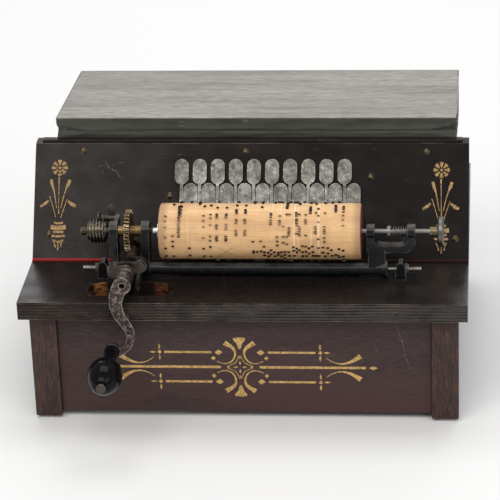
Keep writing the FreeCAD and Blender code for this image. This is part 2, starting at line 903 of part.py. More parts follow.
def handle():
    """The turned pear-shaped grip, bored for its rivet."""
    x = crank_x + handle_dx
    z = crank_z + handle_dz
    back = arm_front - handle_play
    middle = back - handle_length + 2 * handle_play + handle_bulb_half
    turn = math.radians(bulb_end_angle)
    change = (handle_bulb_half - handle_bulb_radius) / (math.sin(turn) + math.cos(turn) - 1)
    reach = change * math.sin(turn)
    end_radius = handle_bulb_half - reach
    nose_angle = math.acos(handle_nose_radius / end_radius)
    neck_angle = math.acos(handle_neck_radius / end_radius)

    def at(radius, y):
        return V(x + radius, y, z)

    def low_end(angle):
        return at(end_radius * math.cos(angle), middle - reach - end_radius * math.sin(angle))

    def high_end(angle):
        return at(end_radius * math.cos(angle), middle + reach + end_radius * math.sin(angle))

    nose = low_end(nose_angle)
    neck = high_end(neck_angle)
    bore = rivet_radius + running_gap
    cove = back - handle_collar_length
    edges = [
        line(at(bore, nose.y), nose),
        arc(nose, low_end((nose_angle + turn) / 2), low_end(turn)),
        arc(low_end(turn), at(handle_bulb_radius, middle), high_end(turn)),
        arc(high_end(turn), high_end((neck_angle + turn) / 2), neck),
        line(neck, at(handle_neck_radius, cove - handle_cove)),
        line(at(handle_neck_radius, cove - handle_cove), at(handle_collar_radius, cove)),
        line(at(handle_collar_radius, cove), at(handle_collar_radius, back)),
        line(at(handle_collar_radius, back), at(bore, back)),
        line(at(bore, back), at(bore, nose.y)),
    ]
    return face_of(edges).revolve(V(x, 0, z), Y_AXIS, 360)


def handle_rivet():
    x = crank_x + handle_dx
    z = crank_z + handle_dz
    front = arm_front - handle_length
    shank = rod(rivet_radius, V(x, front, z), Y_AXIS, handle_length + arm_thickness)
    head = rod(rivet_head_radius, V(x, front - rivet_head, z), Y_AXIS, rivet_head)
    rim = [e for e in head.Edges if abs(e.CenterOfMass.y - head.BoundBox.YMin) < 1e-6 and e.Closed]
    head = head.makeFillet(rivet_head * 0.7, rim[:1])
    return join([shank, head])


# The wheel, the cob and its driving spindle
def worm_wheel():
    x0 = wheel_x - wheel_thickness / 2
    lead = math.pi * gear_module / (2 * math.pi * worm_pitch_radius)
    turn = lead / (gear_module * wheel_teeth / 2)
    middle = (wheel_x - crank_x) * turn
    wires = []
    for x in (x0, x0 + wheel_thickness):
        wires.append(wheel_outline(x, middle + (x - wheel_x) * turn))
    wheel = Part.makeLoft(wires, True, True)
    hub_left = left_arm_x + arm_width + wheel_side_gap
    hub_right = middle_arm_x - wheel_side_gap
    hub = rod(hub_radius, V(hub_left, cob_axis_y, cob_axis_z), X_AXIS, hub_right - hub_left)
    bore = rod(spindle_radius + running_gap, axis_point(hub_left - 1), X_AXIS, hub_right - hub_left + 2)
    return join([wheel, hub]).cut(bore)


def wheel_outline(x, turn):
    """Thirty cut teeth; a gap between two teeth stands over the worm."""
    pitch_radius = gear_module * wheel_teeth / 2
    root = pitch_radius - dedendum * gear_module
    tip = pitch_radius + gear_module
    half = (math.pi * gear_module / 2 - mesh_gap) / 2
    foot = half + (dedendum - tooth_relief) * gear_module * pressure_slope
    crest = half - (1 + tooth_relief) * gear_module * pressure_slope
    points = []
    for i in range(wheel_teeth):
        middle = turn + (i + 0.5) * 2 * math.pi / wheel_teeth
        for radius, side in ((root, -foot), (tip, -crest), (tip, crest), (root, foot)):
            angle = middle + side / radius
            points.append(V(x, cob_axis_y + radius * math.sin(angle), cob_axis_z - radius * math.cos(angle)))
    return Part.makePolygon(points + points[:1])


def drive_spindle():
    axis = V(0, cob_axis_y, cob_axis_z)
    right = cob_left + centre_depth
    shaft = rod(spindle_radius, axis + V(spindle_left, 0, 0), X_AXIS, right - spindle_left)
    flange = rod(flange_radius, axis + V(cob_left - flange_thickness, 0, 0), X_AXIS, flange_thickness)
    drum_length = shift_turns * shift_step + 2 * shift_end
    drum = rod(shift_core, axis + V(shift_left, 0, 0), X_AXIS, drum_length)
    start = axis + V(shift_left + shift_end, 0, 0)
    ridge = thread(shift_core, shift_radius, shift_step, shift_turns, start, X_AXIS, shift_foot, shift_crest)
    nut = rod(spindle_radius + 1, axis + V(spindle_left + 1, 0, 0), X_AXIS, spindle_nut)
    return join([shaft, flange, drum, nut, ridge])


def cob():
    axis = V(0, cob_axis_y, cob_axis_z)
    body = rod(cob_radius, axis + V(cob_left, 0, 0), X_AXIS, cob_length)
    body = body.makeChamfer(end_chamfer, [e for e in body.Edges if e.Closed])
    body = body.cut(rod(spindle_radius, axis + V(cob_left - 1, 0, 0), X_AXIS, centre_depth + 1))
    hole = rod(tail_radius + running_gap, axis_point(cob_right - tail_hole_depth), X_AXIS, tail_hole_depth + 1)
    return body.cut(hole)


def cob_pins():
    """Steel pins and bridges, three tracks to each key."""
    pins = []
    for i in range(key_count):
        for j in range(pins_per_key):
            track = (i + j) % 3 - 1
            angle = (i * 47 + j * 360.0 / pins_per_key + (i * j * 13) % 29) % 360
            length = pin_length * (1 + (i + 2 * j) % 3)
            pins.append(cob_pin(key_x(i) + track * shift_step, angle, length))
    return group(pins)


def cob_pin(x, angle, length):
    low = cob_radius - pin_depth
    span = min(length, 0.5 * cob_radius)
    high = math.sqrt(pin_circle * pin_circle - span * span / 4)
    pin = box(x - pin_width / 2, x + pin_width / 2, -span / 2, span / 2, low, high)
    pin.rotate(V(0, 0, 0), X_AXIS, angle)
    pin.translate(V(0, cob_axis_y, cob_axis_z))
    return pin


# The cradle that carries the cob, and the casting round the worm
def axis_point(x):
    return V(x, cob_axis_y, cob_axis_z)


def cradle_arm(x):
    """One upright arm from the bar up to a spindle bearing."""
    foot = V(x, pivot_y, pivot_z)
    return link_plate(foot, bar_radius + arm_foot_wall, axis_point(x), arm_top_radius, arm_width, X_AXIS)


def pad_span():
    return left_arm_x + arm_width, middle_arm_x


def pad_height():
    return crank_z - worm_pitch_radius - gear_module - worm_clear


def cradle_frame():
    axis = V(0, pivot_y, pivot_z)
    bar = rod(bar_radius, axis + V(bar_left, 0, 0), X_AXIS, bar_right - bar_left)
    cone = Part.makeCone(bar_radius, bar_flare_radius, bar_flare, axis + V(bar_right - bar_flare, 0, 0), X_AXIS)
    lug_x = left_arm_x + arm_width - knife_lug
    pin_length = left_arm_x + arm_width - knife_pin_left
    lug = link_plate(
        axis_point(lug_x), arm_top_radius - 1,
        V(lug_x, knife_pivot_y, knife_pivot_z), knife_lug_radius, knife_lug, X_AXIS)
    pin = rod(knife_rod_radius, V(knife_pin_left, knife_pivot_y, knife_pivot_z), X_AXIS, pin_length)
    shapes = [bar, cone, cradle_arm(left_arm_x), cradle_arm(middle_arm_x), lug, pin] + yoke()
    frame = join(shapes)
    frame = frame.cut(housing_space())
    arms_length = middle_arm_x - left_arm_x + arm_width
    bore = rod(spindle_radius + running_gap, axis_point(left_arm_x - 1), X_AXIS, arms_length + 2)
    frame = frame.cut(bore)
    yoke_length = yoke_right_x - yoke_left_x + arm_width
    tail = rod(tail_radius + running_gap, axis_point(yoke_left_x - 1), X_AXIS, yoke_length + 2)
    frame = frame.cut(tail)
    for x, way in ((bar_right, -1), (bar_left, 1)):
        apex = axis + V(x + way * (cone_seat + cone_gap), 0, 0)
        deep = 2 * cone_seat
        socket = Part.makeCone(0, deep, deep, apex, X_AXIS * -way)
        frame = frame.cut(socket)
    return frame


def housing_space():
    x0, x1 = pad_span()
    front = pivot_y - housing_clear
    back = pivot_y + housing_clear
    return box(x0, x1, front, back, pad_height() - housing_foot, crank_z + housing_clear)


def yoke():
    """The U-shaped carrier of the tail spindle, on a stem that rises from the bar."""
    y0 = cob_axis_y - yoke_depth / 2
    y1 = cob_axis_y + yoke_depth / 2
    right = yoke_right_x + arm_width
    top = cob_axis_z
    low = yoke_floor_z
    floor = low + yoke_floor_thickness
    inner_left = yoke_left_x + arm_width
    out = yoke_outer_round
    r = yoke_inner_round
    bulge = 1 - math.sqrt(0.5)

    def at(x, z):
        return V(x, y0, z)

    def corner_arc(upper, lower, inward):
        return arc(upper, V(upper.x + inward, y0, lower.z + abs(inward)), lower)

    edges = [
        line(at(yoke_left_x, top), at(yoke_left_x, low)),
        line(at(yoke_left_x, low), at(right - out, low)),
        arc(at(right - out, low), at(right - bulge * out, low + bulge * out), at(right, low + out)),
        line(at(right, low + out), at(right, top)),
        line(at(right, top), at(yoke_right_x, top)),
        line(at(yoke_right_x, top), at(yoke_right_x, floor + r)),
        corner_arc(at(yoke_right_x, floor + r), at(yoke_right_x - r, floor), -bulge * r),
        line(at(yoke_right_x - r, floor), at(inner_left + r, floor)),
        corner_arc(at(inner_left, floor + r), at(inner_left + r, floor), bulge * r),
        line(at(inner_left, floor + r), at(inner_left, top)),
        line(at(inner_left, top), at(yoke_left_x, top)),
    ]
    shapes = [face_of(edges).extrude(V(0, y1 - y0, 0))]
    for x in (yoke_left_x, yoke_right_x):
        shapes.append(rod(yoke_boss_radius, axis_point(x), X_AXIS, arm_width))
    stem = [
        (pivot_y - bar_radius, pivot_z),
        (pivot_y + bar_radius, pivot_z),
        (y1, low + stem_overlap),
        (y0, low + stem_overlap),
    ]
    shapes.append(side_profile(stem, yoke_left_x + stem_inset, bar_right - stem_right))
    return shapes


def worm_housing():
    """Two bearing eyes for the crankshaft on one foot, seated on the cradle's bar."""
    x0, x1 = pad_span()
    y0 = bearing_front_y
    y1 = crank_end_y
    low = pad_height() - housing_foot
    centre = V(crank_x, 0, crank_z)
    foot = box(x0 + housing_side_gap, x1 - housing_side_gap, y0, y1, low, low + housing_foot)
    shapes = [foot]
    for y in (y0, y1 - bearing_thickness):
        shapes.append(rod(bearing_radius, centre + V(0, y, 0), Y_AXIS, bearing_thickness))
        left = crank_x - bearing_radius
        shapes.append(box(left, crank_x + bearing_radius, y, y + bearing_thickness, low, crank_z))
    housing = join(shapes)
    return housing.cut(rod(journal_radius + running_gap, centre + V(0, y0 - 1, 0), Y_AXIS, y1 - y0 + 2))


def lug_face(side):
    """Where the lug's inner face stands, on the right for 1 and on the left for -1."""
    return bar_right + lug_gap_right if side > 0 else bar_left - lug_gap


def pivot_lug(side):
    inner = lug_face(side)
    outer = inner + side * lug_width
    middle = (inner + outer) / 2
    shoulder = lug_height - lug_shoulder
    points = [
        (middle - lug_width / 2, 0),
        (middle + lug_width / 2, 0),
        (middle + lug_half_top, shoulder),
        (middle + lug_half_top - lug_crown, lug_height),
        (middle - lug_half_top + lug_crown, lug_height),
        (middle - lug_half_top, shoulder),
    ]
    front = pivot_y - lug_depth / 2
    body = front_profile(points, front, front + lug_depth)
    foot = box(min(inner, outer), max(inner, outer), front, front + lug_foot, 0, lug_foot_thickness)
    lug = join([body, foot])
    return lug.cut(rod(pivot_screw_radius, V(middle - lug_width, pivot_y, pivot_z), X_AXIS, 2 * lug_width))


def pivot_screw(side):
    """A pointed screw that the cradle swings on, locked by a six-sided nut."""
    face = bar_right if side > 0 else bar_left
    apex = V(face - side * cone_seat, pivot_y, pivot_z)
    out = X_AXIS * side
    point = Part.makeCone(0, pivot_screw_radius, pivot_screw_radius, apex, out)
    shank_start = apex + out * pivot_screw_radius
    nut_face = lug_face(side) + side * (lug_width / 2 + lug_half_top)
    end = nut_face + side * pivot_screw_reach
    shank = rod(pivot_screw_radius, shank_start, out, abs(end - shank_start.x))
    screw = join([point, shank])
    return group([screw, lock_nut(nut_face, side)])


def lock_nut(x, side):
    r = lock_nut_size / math.sqrt(3)
    corners = []
    for i in range(6):
        angle = (i + 0.5) * math.pi / 3
        corners.append(V(x, pivot_y + r * math.cos(angle), pivot_z + r * math.sin(angle)))
    nut = Part.Face(Part.makePolygon(corners + corners[:1])).extrude(V(side * lock_nut_thickness, 0, 0))
    bore = rod(pivot_screw_radius, V(x - lock_nut_size, pivot_y, pivot_z), X_AXIS, 2 * lock_nut_size)
    return nut.cut(bore)


# The sprung tail spindle
def tail_spindle():
    tip = cob_right - centre_depth
    shaft = rod(tail_radius, axis_point(tip), X_AXIS, tail_right - tip)
    collar = rod(collar_radius, axis_point(collar_x), X_AXIS, collar_thickness)
    disc = rod(disc_radius, axis_point(disc_x), X_AXIS, disc_thickness)
    disc = disc.makeFillet(disc_edge, [e for e in disc.Edges if e.Closed])
    hub = rod(disc_hub_radius, axis_point(disc_x - disc_hub_length), X_AXIS, disc_hub_length)
    return join([shaft, collar, disc, hub])


def tail_spring():
    room = yoke_right_x - collar_x - collar_thickness
    end_run = tail_spring_wire
    start = collar_x + collar_thickness + tail_spring_wire * 0.9
    pitch = (room - 1.8 * tail_spring_wire) / tail_spring_turns
    gap = pitch - tail_spring_wire
    print("tail spring: least gap between curls %.2f mm" % gap)
    centre = V(0, cob_axis_y, cob_axis_z)
    return helix_tube(tail_spring_radius, tail_spring_wire, tail_spring_turns, pitch, start, centre, end_run)


# The knife that drops into the shift thread
def shift_knife():
    x = shift_left + shift_end + 3 * shift_step
    hub_left = knife_pin_left + wheel_side_gap
    hub_right = left_arm_x + arm_width - knife_lug - wheel_side_gap
    pivot = V(0, knife_pivot_y, knife_pivot_z)
    hub = rod(knife_hub_radius, pivot + V(hub_left, 0, 0), X_AXIS, hub_right - hub_left)
    tip_z = cob_axis_z + shift_radius + knife_lift
    start = V(x - knife_thickness / 2, knife_pivot_y, knife_pivot_z)
    bend = start + V(0, -knife_bend, tip_z - knife_pivot_z)
    tip = V(x - knife_thickness / 2, cob_axis_y, tip_z + knife_tip_radius)
    shank = link_plate(start, knife_hub_radius, bend, knife_tip_radius, knife_thickness, X_AXIS)
    nose = link_plate(bend, knife_tip_radius, tip, knife_tip_radius, knife_thickness, X_AXIS)
    blade = join([shank, nose])
    thumb_x = hub_right - thumb_width / 2
    thumb_z = knife_pivot_z + thumb_lift + thumb_height / 2
    front = knife_pivot_y - thumb_thickness / 2
    thumb = front_profile(oval(thumb_x, thumb_z, thumb_width, thumb_height), front, front + thumb_thickness)
    knife = join([hub, blade, thumb])
    bore = rod(knife_rod_radius + running_gap, pivot + V(hub_left - 1, 0, 0), X_AXIS, hub_right - hub_left + 2)
    return knife.cut(bore)


def oval(x, z, width, height):
    points = []
    for i in range(20):
        angle = 2 * math.pi * i / 20
        points.append((x + width / 2 * math.cos(angle), z + height / 2 * math.sin(angle)))
    return points


def save(name, shape):
    shape.translate(to_row)
    shape.exportStep("parts/" + name + ".step")
    if not shape.isValid():
        print("not valid:", name)


def main():
    os.makedirs("parts", exist_ok=True)
    pieces = {
        "shelf": shelf(),
        "front_panel": front_panel(),
        "back_panel": back_panel(),
        "side_panels": side_panels(),
        "corner_posts": corner_posts(),
        "base_floor": base_floor(),
        "feet": feet(),
        "inclined_board": inclined_board(),
        "felt_strip": felt_strip(),
        "chest_walls": chest_walls(),
        "chest_top": chest_top(),
        "board_screws": board_screws(),
        "reed_pan": reed_pan(),
        "reeds": reeds(),
        "key_rail": key_rail(),
        "key_rod": key_rod(),
        "reservoir_board": reservoir_board(),
        "reservoir_cloth": reservoir_cloth(),
        "feeder_centre_board": feeder_centre(),
        "feeder_upper_board": feeder_board(1, pin_back_y + pin_span - wheel_side_gap),
        "feeder_lower_board": feeder_board(-1, pin_front_y + pin_span - wheel_side_gap),
        "feeder_upper_cloth": feeder_cloth(1),
        "feeder_lower_cloth": feeder_cloth(-1),
        "pitman_rear": pitman(1, pin_back_y),
        "pitman_front": pitman(-1, pin_front_y),
        "crank_arm": crank_arm(),
        "crankshaft": crankshaft(),
        "crank_handle": handle(),
        "handle_rivet": handle_rivet(),
        "worm_wheel": worm_wheel(),
        "drive_spindle": drive_spindle(),
        "cob": cob(),
        "cob_pins": cob_pins(),
        "cradle_frame": cradle_frame(),
        "worm_housing": worm_housing(),
        "pivot_lugs": group([pivot_lug(-1), pivot_lug(1)]),
        "pivot_screws": group([pivot_screw(-1), pivot_screw(1)]),
        "tail_spindle": tail_spindle(),
        "tail_spring": tail_spring(),
        "shift_knife": shift_knife(),
    }
    for i in range(key_count):
        pieces["key_%02d" % (i + 1)] = key(i)
    for name, shape in pieces.items():
        save(name, shape)


main()
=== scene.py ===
"""Looks of the hand-cranked roller organ, in metres, in the part's own frame."""

import random
from math import atan, cos, pi, radians, sin

import bpy
from mathutils import Matrix, Vector, noise


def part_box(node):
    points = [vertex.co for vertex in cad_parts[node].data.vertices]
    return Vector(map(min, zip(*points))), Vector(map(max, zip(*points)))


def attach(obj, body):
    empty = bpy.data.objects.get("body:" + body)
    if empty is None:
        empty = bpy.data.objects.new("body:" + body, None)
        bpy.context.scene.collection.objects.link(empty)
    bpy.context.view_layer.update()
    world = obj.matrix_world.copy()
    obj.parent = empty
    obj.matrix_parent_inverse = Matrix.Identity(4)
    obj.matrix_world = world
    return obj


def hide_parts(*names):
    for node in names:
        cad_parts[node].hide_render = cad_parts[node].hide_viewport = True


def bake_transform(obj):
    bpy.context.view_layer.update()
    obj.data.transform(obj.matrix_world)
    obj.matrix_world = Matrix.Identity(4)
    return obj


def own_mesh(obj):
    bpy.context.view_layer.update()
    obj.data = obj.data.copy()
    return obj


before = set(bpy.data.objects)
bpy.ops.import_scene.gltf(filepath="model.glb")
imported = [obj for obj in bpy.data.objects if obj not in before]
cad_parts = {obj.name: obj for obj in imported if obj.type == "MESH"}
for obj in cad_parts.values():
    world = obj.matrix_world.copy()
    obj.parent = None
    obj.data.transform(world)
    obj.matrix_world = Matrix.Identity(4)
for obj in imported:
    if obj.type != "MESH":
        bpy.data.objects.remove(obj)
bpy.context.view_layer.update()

MM = 0.001
SEED = 11

# Places in the part's frame
SHELF_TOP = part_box("shelf")[1].z
SHELF_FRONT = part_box("shelf")[0].y
PANEL_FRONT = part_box("front_panel")[0].y
BOARD_LEAN = radians(33.5)
BOARD_FOOT_Y = -0.02815
SLOT_LEFT, SLOT_RIGHT = -0.1243, -0.0563
SLOT_FRONT, SLOT_BACK = -0.09345, -0.06845

# Small distances, in metres
PAINT_LIFT = 0.00005
SCRATCH_LIFT = 0.00004
PIN_ROOT = 0.0006
PAD_THICKNESS = 0.00158
FELT_RED_LENGTH = 0.070
SLOT_RIM = 0.0008
BEADS_DEPTH = 0.007
WELD_DISTANCE = 0.00001
SOFT_EDGE = 0.0006
SOFT_EDGES = {"felt_strip": 0.0003, "crank_arm": 0.0009}
CLOTH_INSET = 0.0022
CLOTH_OUTSET = 0.0004
CLOTH_SEAT = 0.0006
CLOTH_FOOT = 0.0001
CLOTH_DROP = 0.0003
CLOTH_CORNER = 0.0016
CLOTH_SPACING = 0.0016
CREASE_REACH = 0.026
FOLD_REACH = 0.028
RIPPLE = 0.0005
FEEDER_GAP = 0.0004
BOARD_EDGE = 0.0050
RESERVOIR_FOLD = 0.0030
FEEDER_FOLD = 0.005

# Directions
RIGHT = Vector((1.0, 0.0, 0.0))
UP = Vector((0.0, 0.0, 1.0))
UP_BOARD = Vector((0.0, sin(BOARD_LEAN), cos(BOARD_LEAN)))

# Camera
CAMERA_PLACE = Vector((0.19253, -1.90585, 0.98193))
CAMERA_YAW = -0.1015
CAMERA_PITCH = 0.4292
CAMERA_ROLL = -0.039
CAMERA_LENS = 184.5


# Materials
class Shader:
    """A node material, with short calls for the nodes that this scene uses."""

    def __init__(self, name, base=(0.5, 0.5, 0.5), roughness=0.5, metallic=0.0, specular=0.5):
        self.material = bpy.data.materials.new(name)
        self.material.use_nodes = True
        self.tree = self.material.node_tree
        self.bsdf = self.tree.nodes["Principled BSDF"]
        self.set(self.bsdf, "Base Color", base)
        self.set(self.bsdf, "Roughness", roughness)
        self.set(self.bsdf, "Metallic", metallic)
        self.set(self.bsdf, "Specular IOR Level", specular)
        self.place = self.tree.nodes.new("ShaderNodeTexCoord").outputs["Object"]
        self.geometry = self.tree.nodes.new("ShaderNodeNewGeometry")

    def set(self, node, socket, value):
        """Gives a socket a constant, a colour or another node's output."""
        target = node.inputs[socket]
        if isinstance(value, bpy.types.NodeSocket):
            self.tree.links.new(value, target)
        elif isinstance(value, tuple) and len(value) == 3 and len(target.default_value) == 4:
            target.default_value = (*value, 1.0)
        else:
            target.default_value = value

    def feed(self, socket, value):
        self.set(self.bsdf, socket, value)

    def paint(self, colour):
        self.feed("Base Color", colour)

    def stretched(self, scale):
        """The object's own coordinates, in metres, times scale per axis."""
        node = self.tree.nodes.new("ShaderNodeMapping")
        self.set(node, "Vector", self.place)
        self.set(node, "Scale", scale)
        return node.outputs["Vector"]

    def noise(self, scale, detail=4.0, roughness=0.55, along=(1.0, 1.0, 1.0), distortion=0.0):
        node = self.tree.nodes.new("ShaderNodeTexNoise")
        self.set(node, "Vector", self.stretched(along))
        self.set(node, "Scale", scale)
        self.set(node, "Detail", detail)
        self.set(node, "Roughness", roughness)
        self.set(node, "Distortion", distortion)
        return node.outputs["Fac"]

    def ramp(self, value, stops):
        """A colour ramp: stops are (place, grey or colour)."""
        node = self.tree.nodes.new("ShaderNodeValToRGB")
        self.set(node, "Fac", value)
        elements = node.color_ramp.elements
        while len(elements) < len(stops):
            elements.new(0.5)
        for element, (at, colour) in zip(elements, stops):
            element.position = at
            grey = isinstance(colour, (int, float))
            element.color = (colour, colour, colour, 1.0) if grey else (*colour, 1.0)
        return node.outputs["Color"]

    def mix(self, share, first, second, mode="MIX"):
        node = self.tree.nodes.new("ShaderNodeMix")
        node.data_type = "RGBA"
        node.blend_type = mode
        self.set(node, 0, share)
        self.set(node, 6, first)
        self.set(node, 7, second)
        return node.outputs[2]

    def math(self, operation, first, second=0.0, clamp=False):
        node = self.tree.nodes.new("ShaderNodeMath")
        node.operation = operation
        node.use_clamp = clamp
        self.set(node, 0, first)
        self.set(node, 1, second)
        return node.outputs["Value"]

    def times(self, first, second):
        return self.math("MULTIPLY", first, second)

    def share(self, first, second, width):
        """first less second, as a share of width, kept between 0 and 1."""
        return self.math("DIVIDE", self.math("SUBTRACT", first, second), width, clamp=True)

    def axis(self, name, source=None):
        node = self.tree.nodes.new("ShaderNodeSeparateXYZ")
        self.set(node, "Vector", source or self.place)
        return node.outputs[name]

    def facing(self, name):
        """One component of the direction that the surface faces."""
        return self.axis(name, self.geometry.outputs["Normal"])

    def tone(self):
        """The colour that the surface has so far."""
        return self.bsdf.inputs["Base Color"].links[0].from_socket

    def patches(self, stops, scale, **ways):
        """Noise of one scale, turned into greys or colours by a ramp."""
        return self.ramp(self.noise(scale, **ways), stops)

    def within(self, name, low, high, soft=0.0004):
        """1 where the coordinate is between low and high, 0 outside, with soft edges."""
        value = self.axis(name)
        rise = self.share(value, low, soft)
        fall = self.share(high, value, soft)
        return self.times(rise, fall)

    def edges(self, radius):
        """1 near the solid's sharp edges, 0 on its flat faces."""
        node = self.tree.nodes.new("ShaderNodeBevel")
        node.samples = 4
        self.set(node, "Radius", radius)
        dot = self.tree.nodes.new("ShaderNodeVectorMath")
        dot.operation = "DOT_PRODUCT"
        self.tree.links.new(node.outputs["Normal"], dot.inputs[0])
        self.tree.links.new(self.geometry.outputs["Normal"], dot.inputs[1])
        return self.ramp(dot.outputs["Value"], [(0.80, 1.0), (0.985, 0.0)])

    def bump(self, height, distance, strength=1.0):
        node = self.tree.nodes.new("ShaderNodeBump")
        self.set(node, "Height", height)
        self.set(node, "Distance", distance)
        self.set(node, "Strength", strength)
        self.set(self.bsdf, "Normal", node.outputs["Normal"])

    def scratches(self, along, scale, keep=0.035):
        """Thin bright lines that run one way."""
        line = self.noise(scale, detail=1.0, along=along, distortion=0.5)
        centre = self.math("ABSOLUTE", self.math("SUBTRACT", line, 0.5))
        thin = self.ramp(centre, [(0.0, 1.0), (keep, 0.0)])
        patches = self.patches([(0.66, 0.0), (0.70, 1.0)], scale * 0.4, detail=1.0)
        return self.times(thin, patches)


def ebonized(name, base, streak, grain, gloss=0.42, specular=0.18):
    """Black-stained wood: fine grain along one axis, scratches, pale specks and rubbed edges."""
    s = Shader(name, roughness=gloss, specular=specular)
    fibre = s.noise(900.0, detail=3.0, along=grain)
    broad = s.noise(60.0, detail=5.0, along=grain)
    tone = s.mix(s.ramp(broad, [(0.35, 0.0), (0.7, 1.0)]), base, streak)
    tone = s.mix(s.ramp(fibre, [(0.42, 0.0), (0.62, 0.35)]), tone, tuple(c * 1.9 for c in streak))
    scuffs = s.scratches((0.25, 3.0, 2.0), 110.0, keep=0.008)
    crossed = s.scratches((2.0, 0.5, 3.0), 150.0, keep=0.006)
    specks = s.patches([(0.76, 0.0), (0.78, 0.6)], 1300.0, detail=1.0)
    marks = s.math("MAXIMUM", s.math("MAXIMUM", scuffs, crossed), specks)
    marks = s.times(marks, 0.4)
    tone = s.mix(marks, tone, (0.30, 0.27, 0.24))
    worn = s.times(s.edges(0.0009), s.patches([(0.45, 0.05), (0.64, 0.6)], 90.0))
    tone = s.mix(worn, tone, (0.14, 0.095, 0.07))
    s.paint(tone)
    s.feed("Roughness", s.patches([(0.3, gloss - 0.08), (0.75, gloss + 0.16)], 45.0, detail=5.0))
    s.bump(s.math("ADD", fibre, s.times(broad, 0.6)), 0.00012, 0.55)
    return s


def post_finish():
    """The posts: open-pored stain, with reddish wood showing in fine upright lines."""
    s = ebonized("post_stain", (0.027, 0.0175, 0.0165), (0.052, 0.031, 0.028), UPRIGHT, gloss=0.4)
    stain = s.tone()
    lines = s.patches([(0.54, 0.0), (0.64, 1.0)], 1000.0, along=(1.0, 1.0, 0.10), roughness=0.6)
    lines = s.times(lines, s.patches([(0.35, 0.15), (0.6, 0.9)], 90.0, detail=2.0))
    s.paint(s.mix(lines, stain, (0.115, 0.052, 0.032)))
    return s


def panel_finish():
    """The front panel: dark brown stain that reddens towards the floor."""
    s = ebonized("panel_stain", (0.028, 0.0200, 0.0190), (0.050, 0.034, 0.032), ACROSS, gloss=0.45)
    stain = s.tone()
    low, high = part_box("front_panel")
    fall = s.share(high.z, s.axis("Z"), high.z - low.z)
    cloudy = s.patches([(0.35, 0.25), (0.65, 1.0)], 26.0, detail=5.0, along=(0.5, 1.0, 1.0))
    s.paint(s.mix(s.times(fall, cloudy), stain, (0.066, 0.032, 0.031)))
    return s


def raw_wood(name, light, dark, grain, roughness=0.7):
    """Bare or stained wood with growth lines along one axis."""
    s = Shader(name, roughness=roughness)
    rings = s.noise(70.0, detail=6.0, along=grain, distortion=0.4)
    fibre = s.noise(1100.0, detail=2.0, along=grain)
    tone = s.ramp(rings, [(0.3, dark), (0.5, light), (0.72, tuple(c * 0.85 for c in light))])
    tone = s.mix(s.ramp(fibre, [(0.35, 0.5), (0.6, 0.0)]), tone, dark)
    stains = s.patches([(0.55, 0.0), (0.8, 0.45)], 25.0, detail=5.0)
    s.paint(s.mix(stains, tone, tuple(c * 0.5 for c in dark)))
    s.bump(fibre, 0.0001, 0.5)
    return s


def metal(name, base, worn, roughness=0.4, rust=0.0, rust_tone=(0.16, 0.065, 0.03), blotch=80.0):
    """Worn metal: blotched tone, rubbed edges, fine scratches and rust in patches."""
    s = Shader(name, roughness=roughness, metallic=1.0)
    tone = s.mix(s.patches([(0.38, 0.0), (0.66, 1.0)], blotch, detail=6.0), base,
                 tuple(c * 0.62 for c in base))
    rubbed = s.times(s.edges(0.0006), s.patches([(0.4, 0.2), (0.6, 1.0)], 240.0))
    tone = s.mix(rubbed, tone, worn)
    rusty = s.patches([(0.66 - 0.3 * rust, 0.0), (0.74 - 0.26 * rust, 1.0)], 150.0, detail=7.0,
                      roughness=0.65)
    rusty = s.times(rusty, 1.0 if rust > 0 else 0.25)
    s.paint(s.mix(rusty, tone, rust_tone))
    s.feed("Metallic", s.math("SUBTRACT", 1.0, s.times(rusty, 0.85)))
    uneven = s.patches([(0.3, roughness - 0.1), (0.7, roughness + 0.15)], 190.0, detail=5.0)
    s.feed("Roughness", s.mix(rusty, uneven, (0.8, 0.8, 0.8)))
    s.bump(s.math("ADD", s.noise(1500.0, detail=3.0), rusty), 0.00006, 0.6)
    return s


def key_finish():
    """The keys' speckled grey metal, with a red leather pad glued on underneath."""
    s = metal("key_metal", (0.165, 0.158, 0.145), (0.52, 0.51, 0.49), roughness=0.40, rust=0.1,
              rust_tone=(0.045, 0.036, 0.030), blotch=260.0)
    tone = s.tone()
    pitted = s.patches([(0.54, 0.0), (0.66, 0.55)], 620.0, detail=5.0, roughness=0.65)
    tone = s.mix(pitted, tone, (0.46, 0.45, 0.42))
    shade = s.patches([(0.38, 0.0), (0.62, 0.75)], 75.0, detail=3.0)
    tone = s.mix(shade, tone, (0.052, 0.048, 0.042))
    down = s.times(s.math("SUBTRACT", BOARD_FOOT_Y, s.axis("Y")), cos(BOARD_LEAN))
    rise = s.times(s.math("SUBTRACT", s.axis("Z"), SHELF_TOP), sin(BOARD_LEAN))
    pad = s.math("LESS_THAN", s.math("ADD", down, rise), PAD_THICKNESS)
    s.paint(s.mix(pad, tone, (0.085, 0.016, 0.012)))
    s.feed("Metallic", s.math("SUBTRACT", 1.0, pad))
    return s


def cloth_finish(name, base, rubbed):
    """Rubberised bellows cloth: fine weave, creases, pale rubbed folds."""
    s = Shader(name, roughness=0.62, specular=0.35)
    weave = s.noise(2600.0, detail=1.0)
    patches = s.patches([(0.42, 0.0), (0.7, 1.0)], 55.0, detail=6.0, along=(0.5, 1.0, 2.0))
    tone = s.mix(patches, base, tuple(c * 0.55 for c in base))
    lines = s.scratches((0.15, 1.0, 3.0), 190.0, keep=0.05)
    tone = s.mix(s.times(lines, 0.7), tone, rubbed)
    s.paint(tone)
    s.bump(weave, 0.00008, 0.5)
    return s


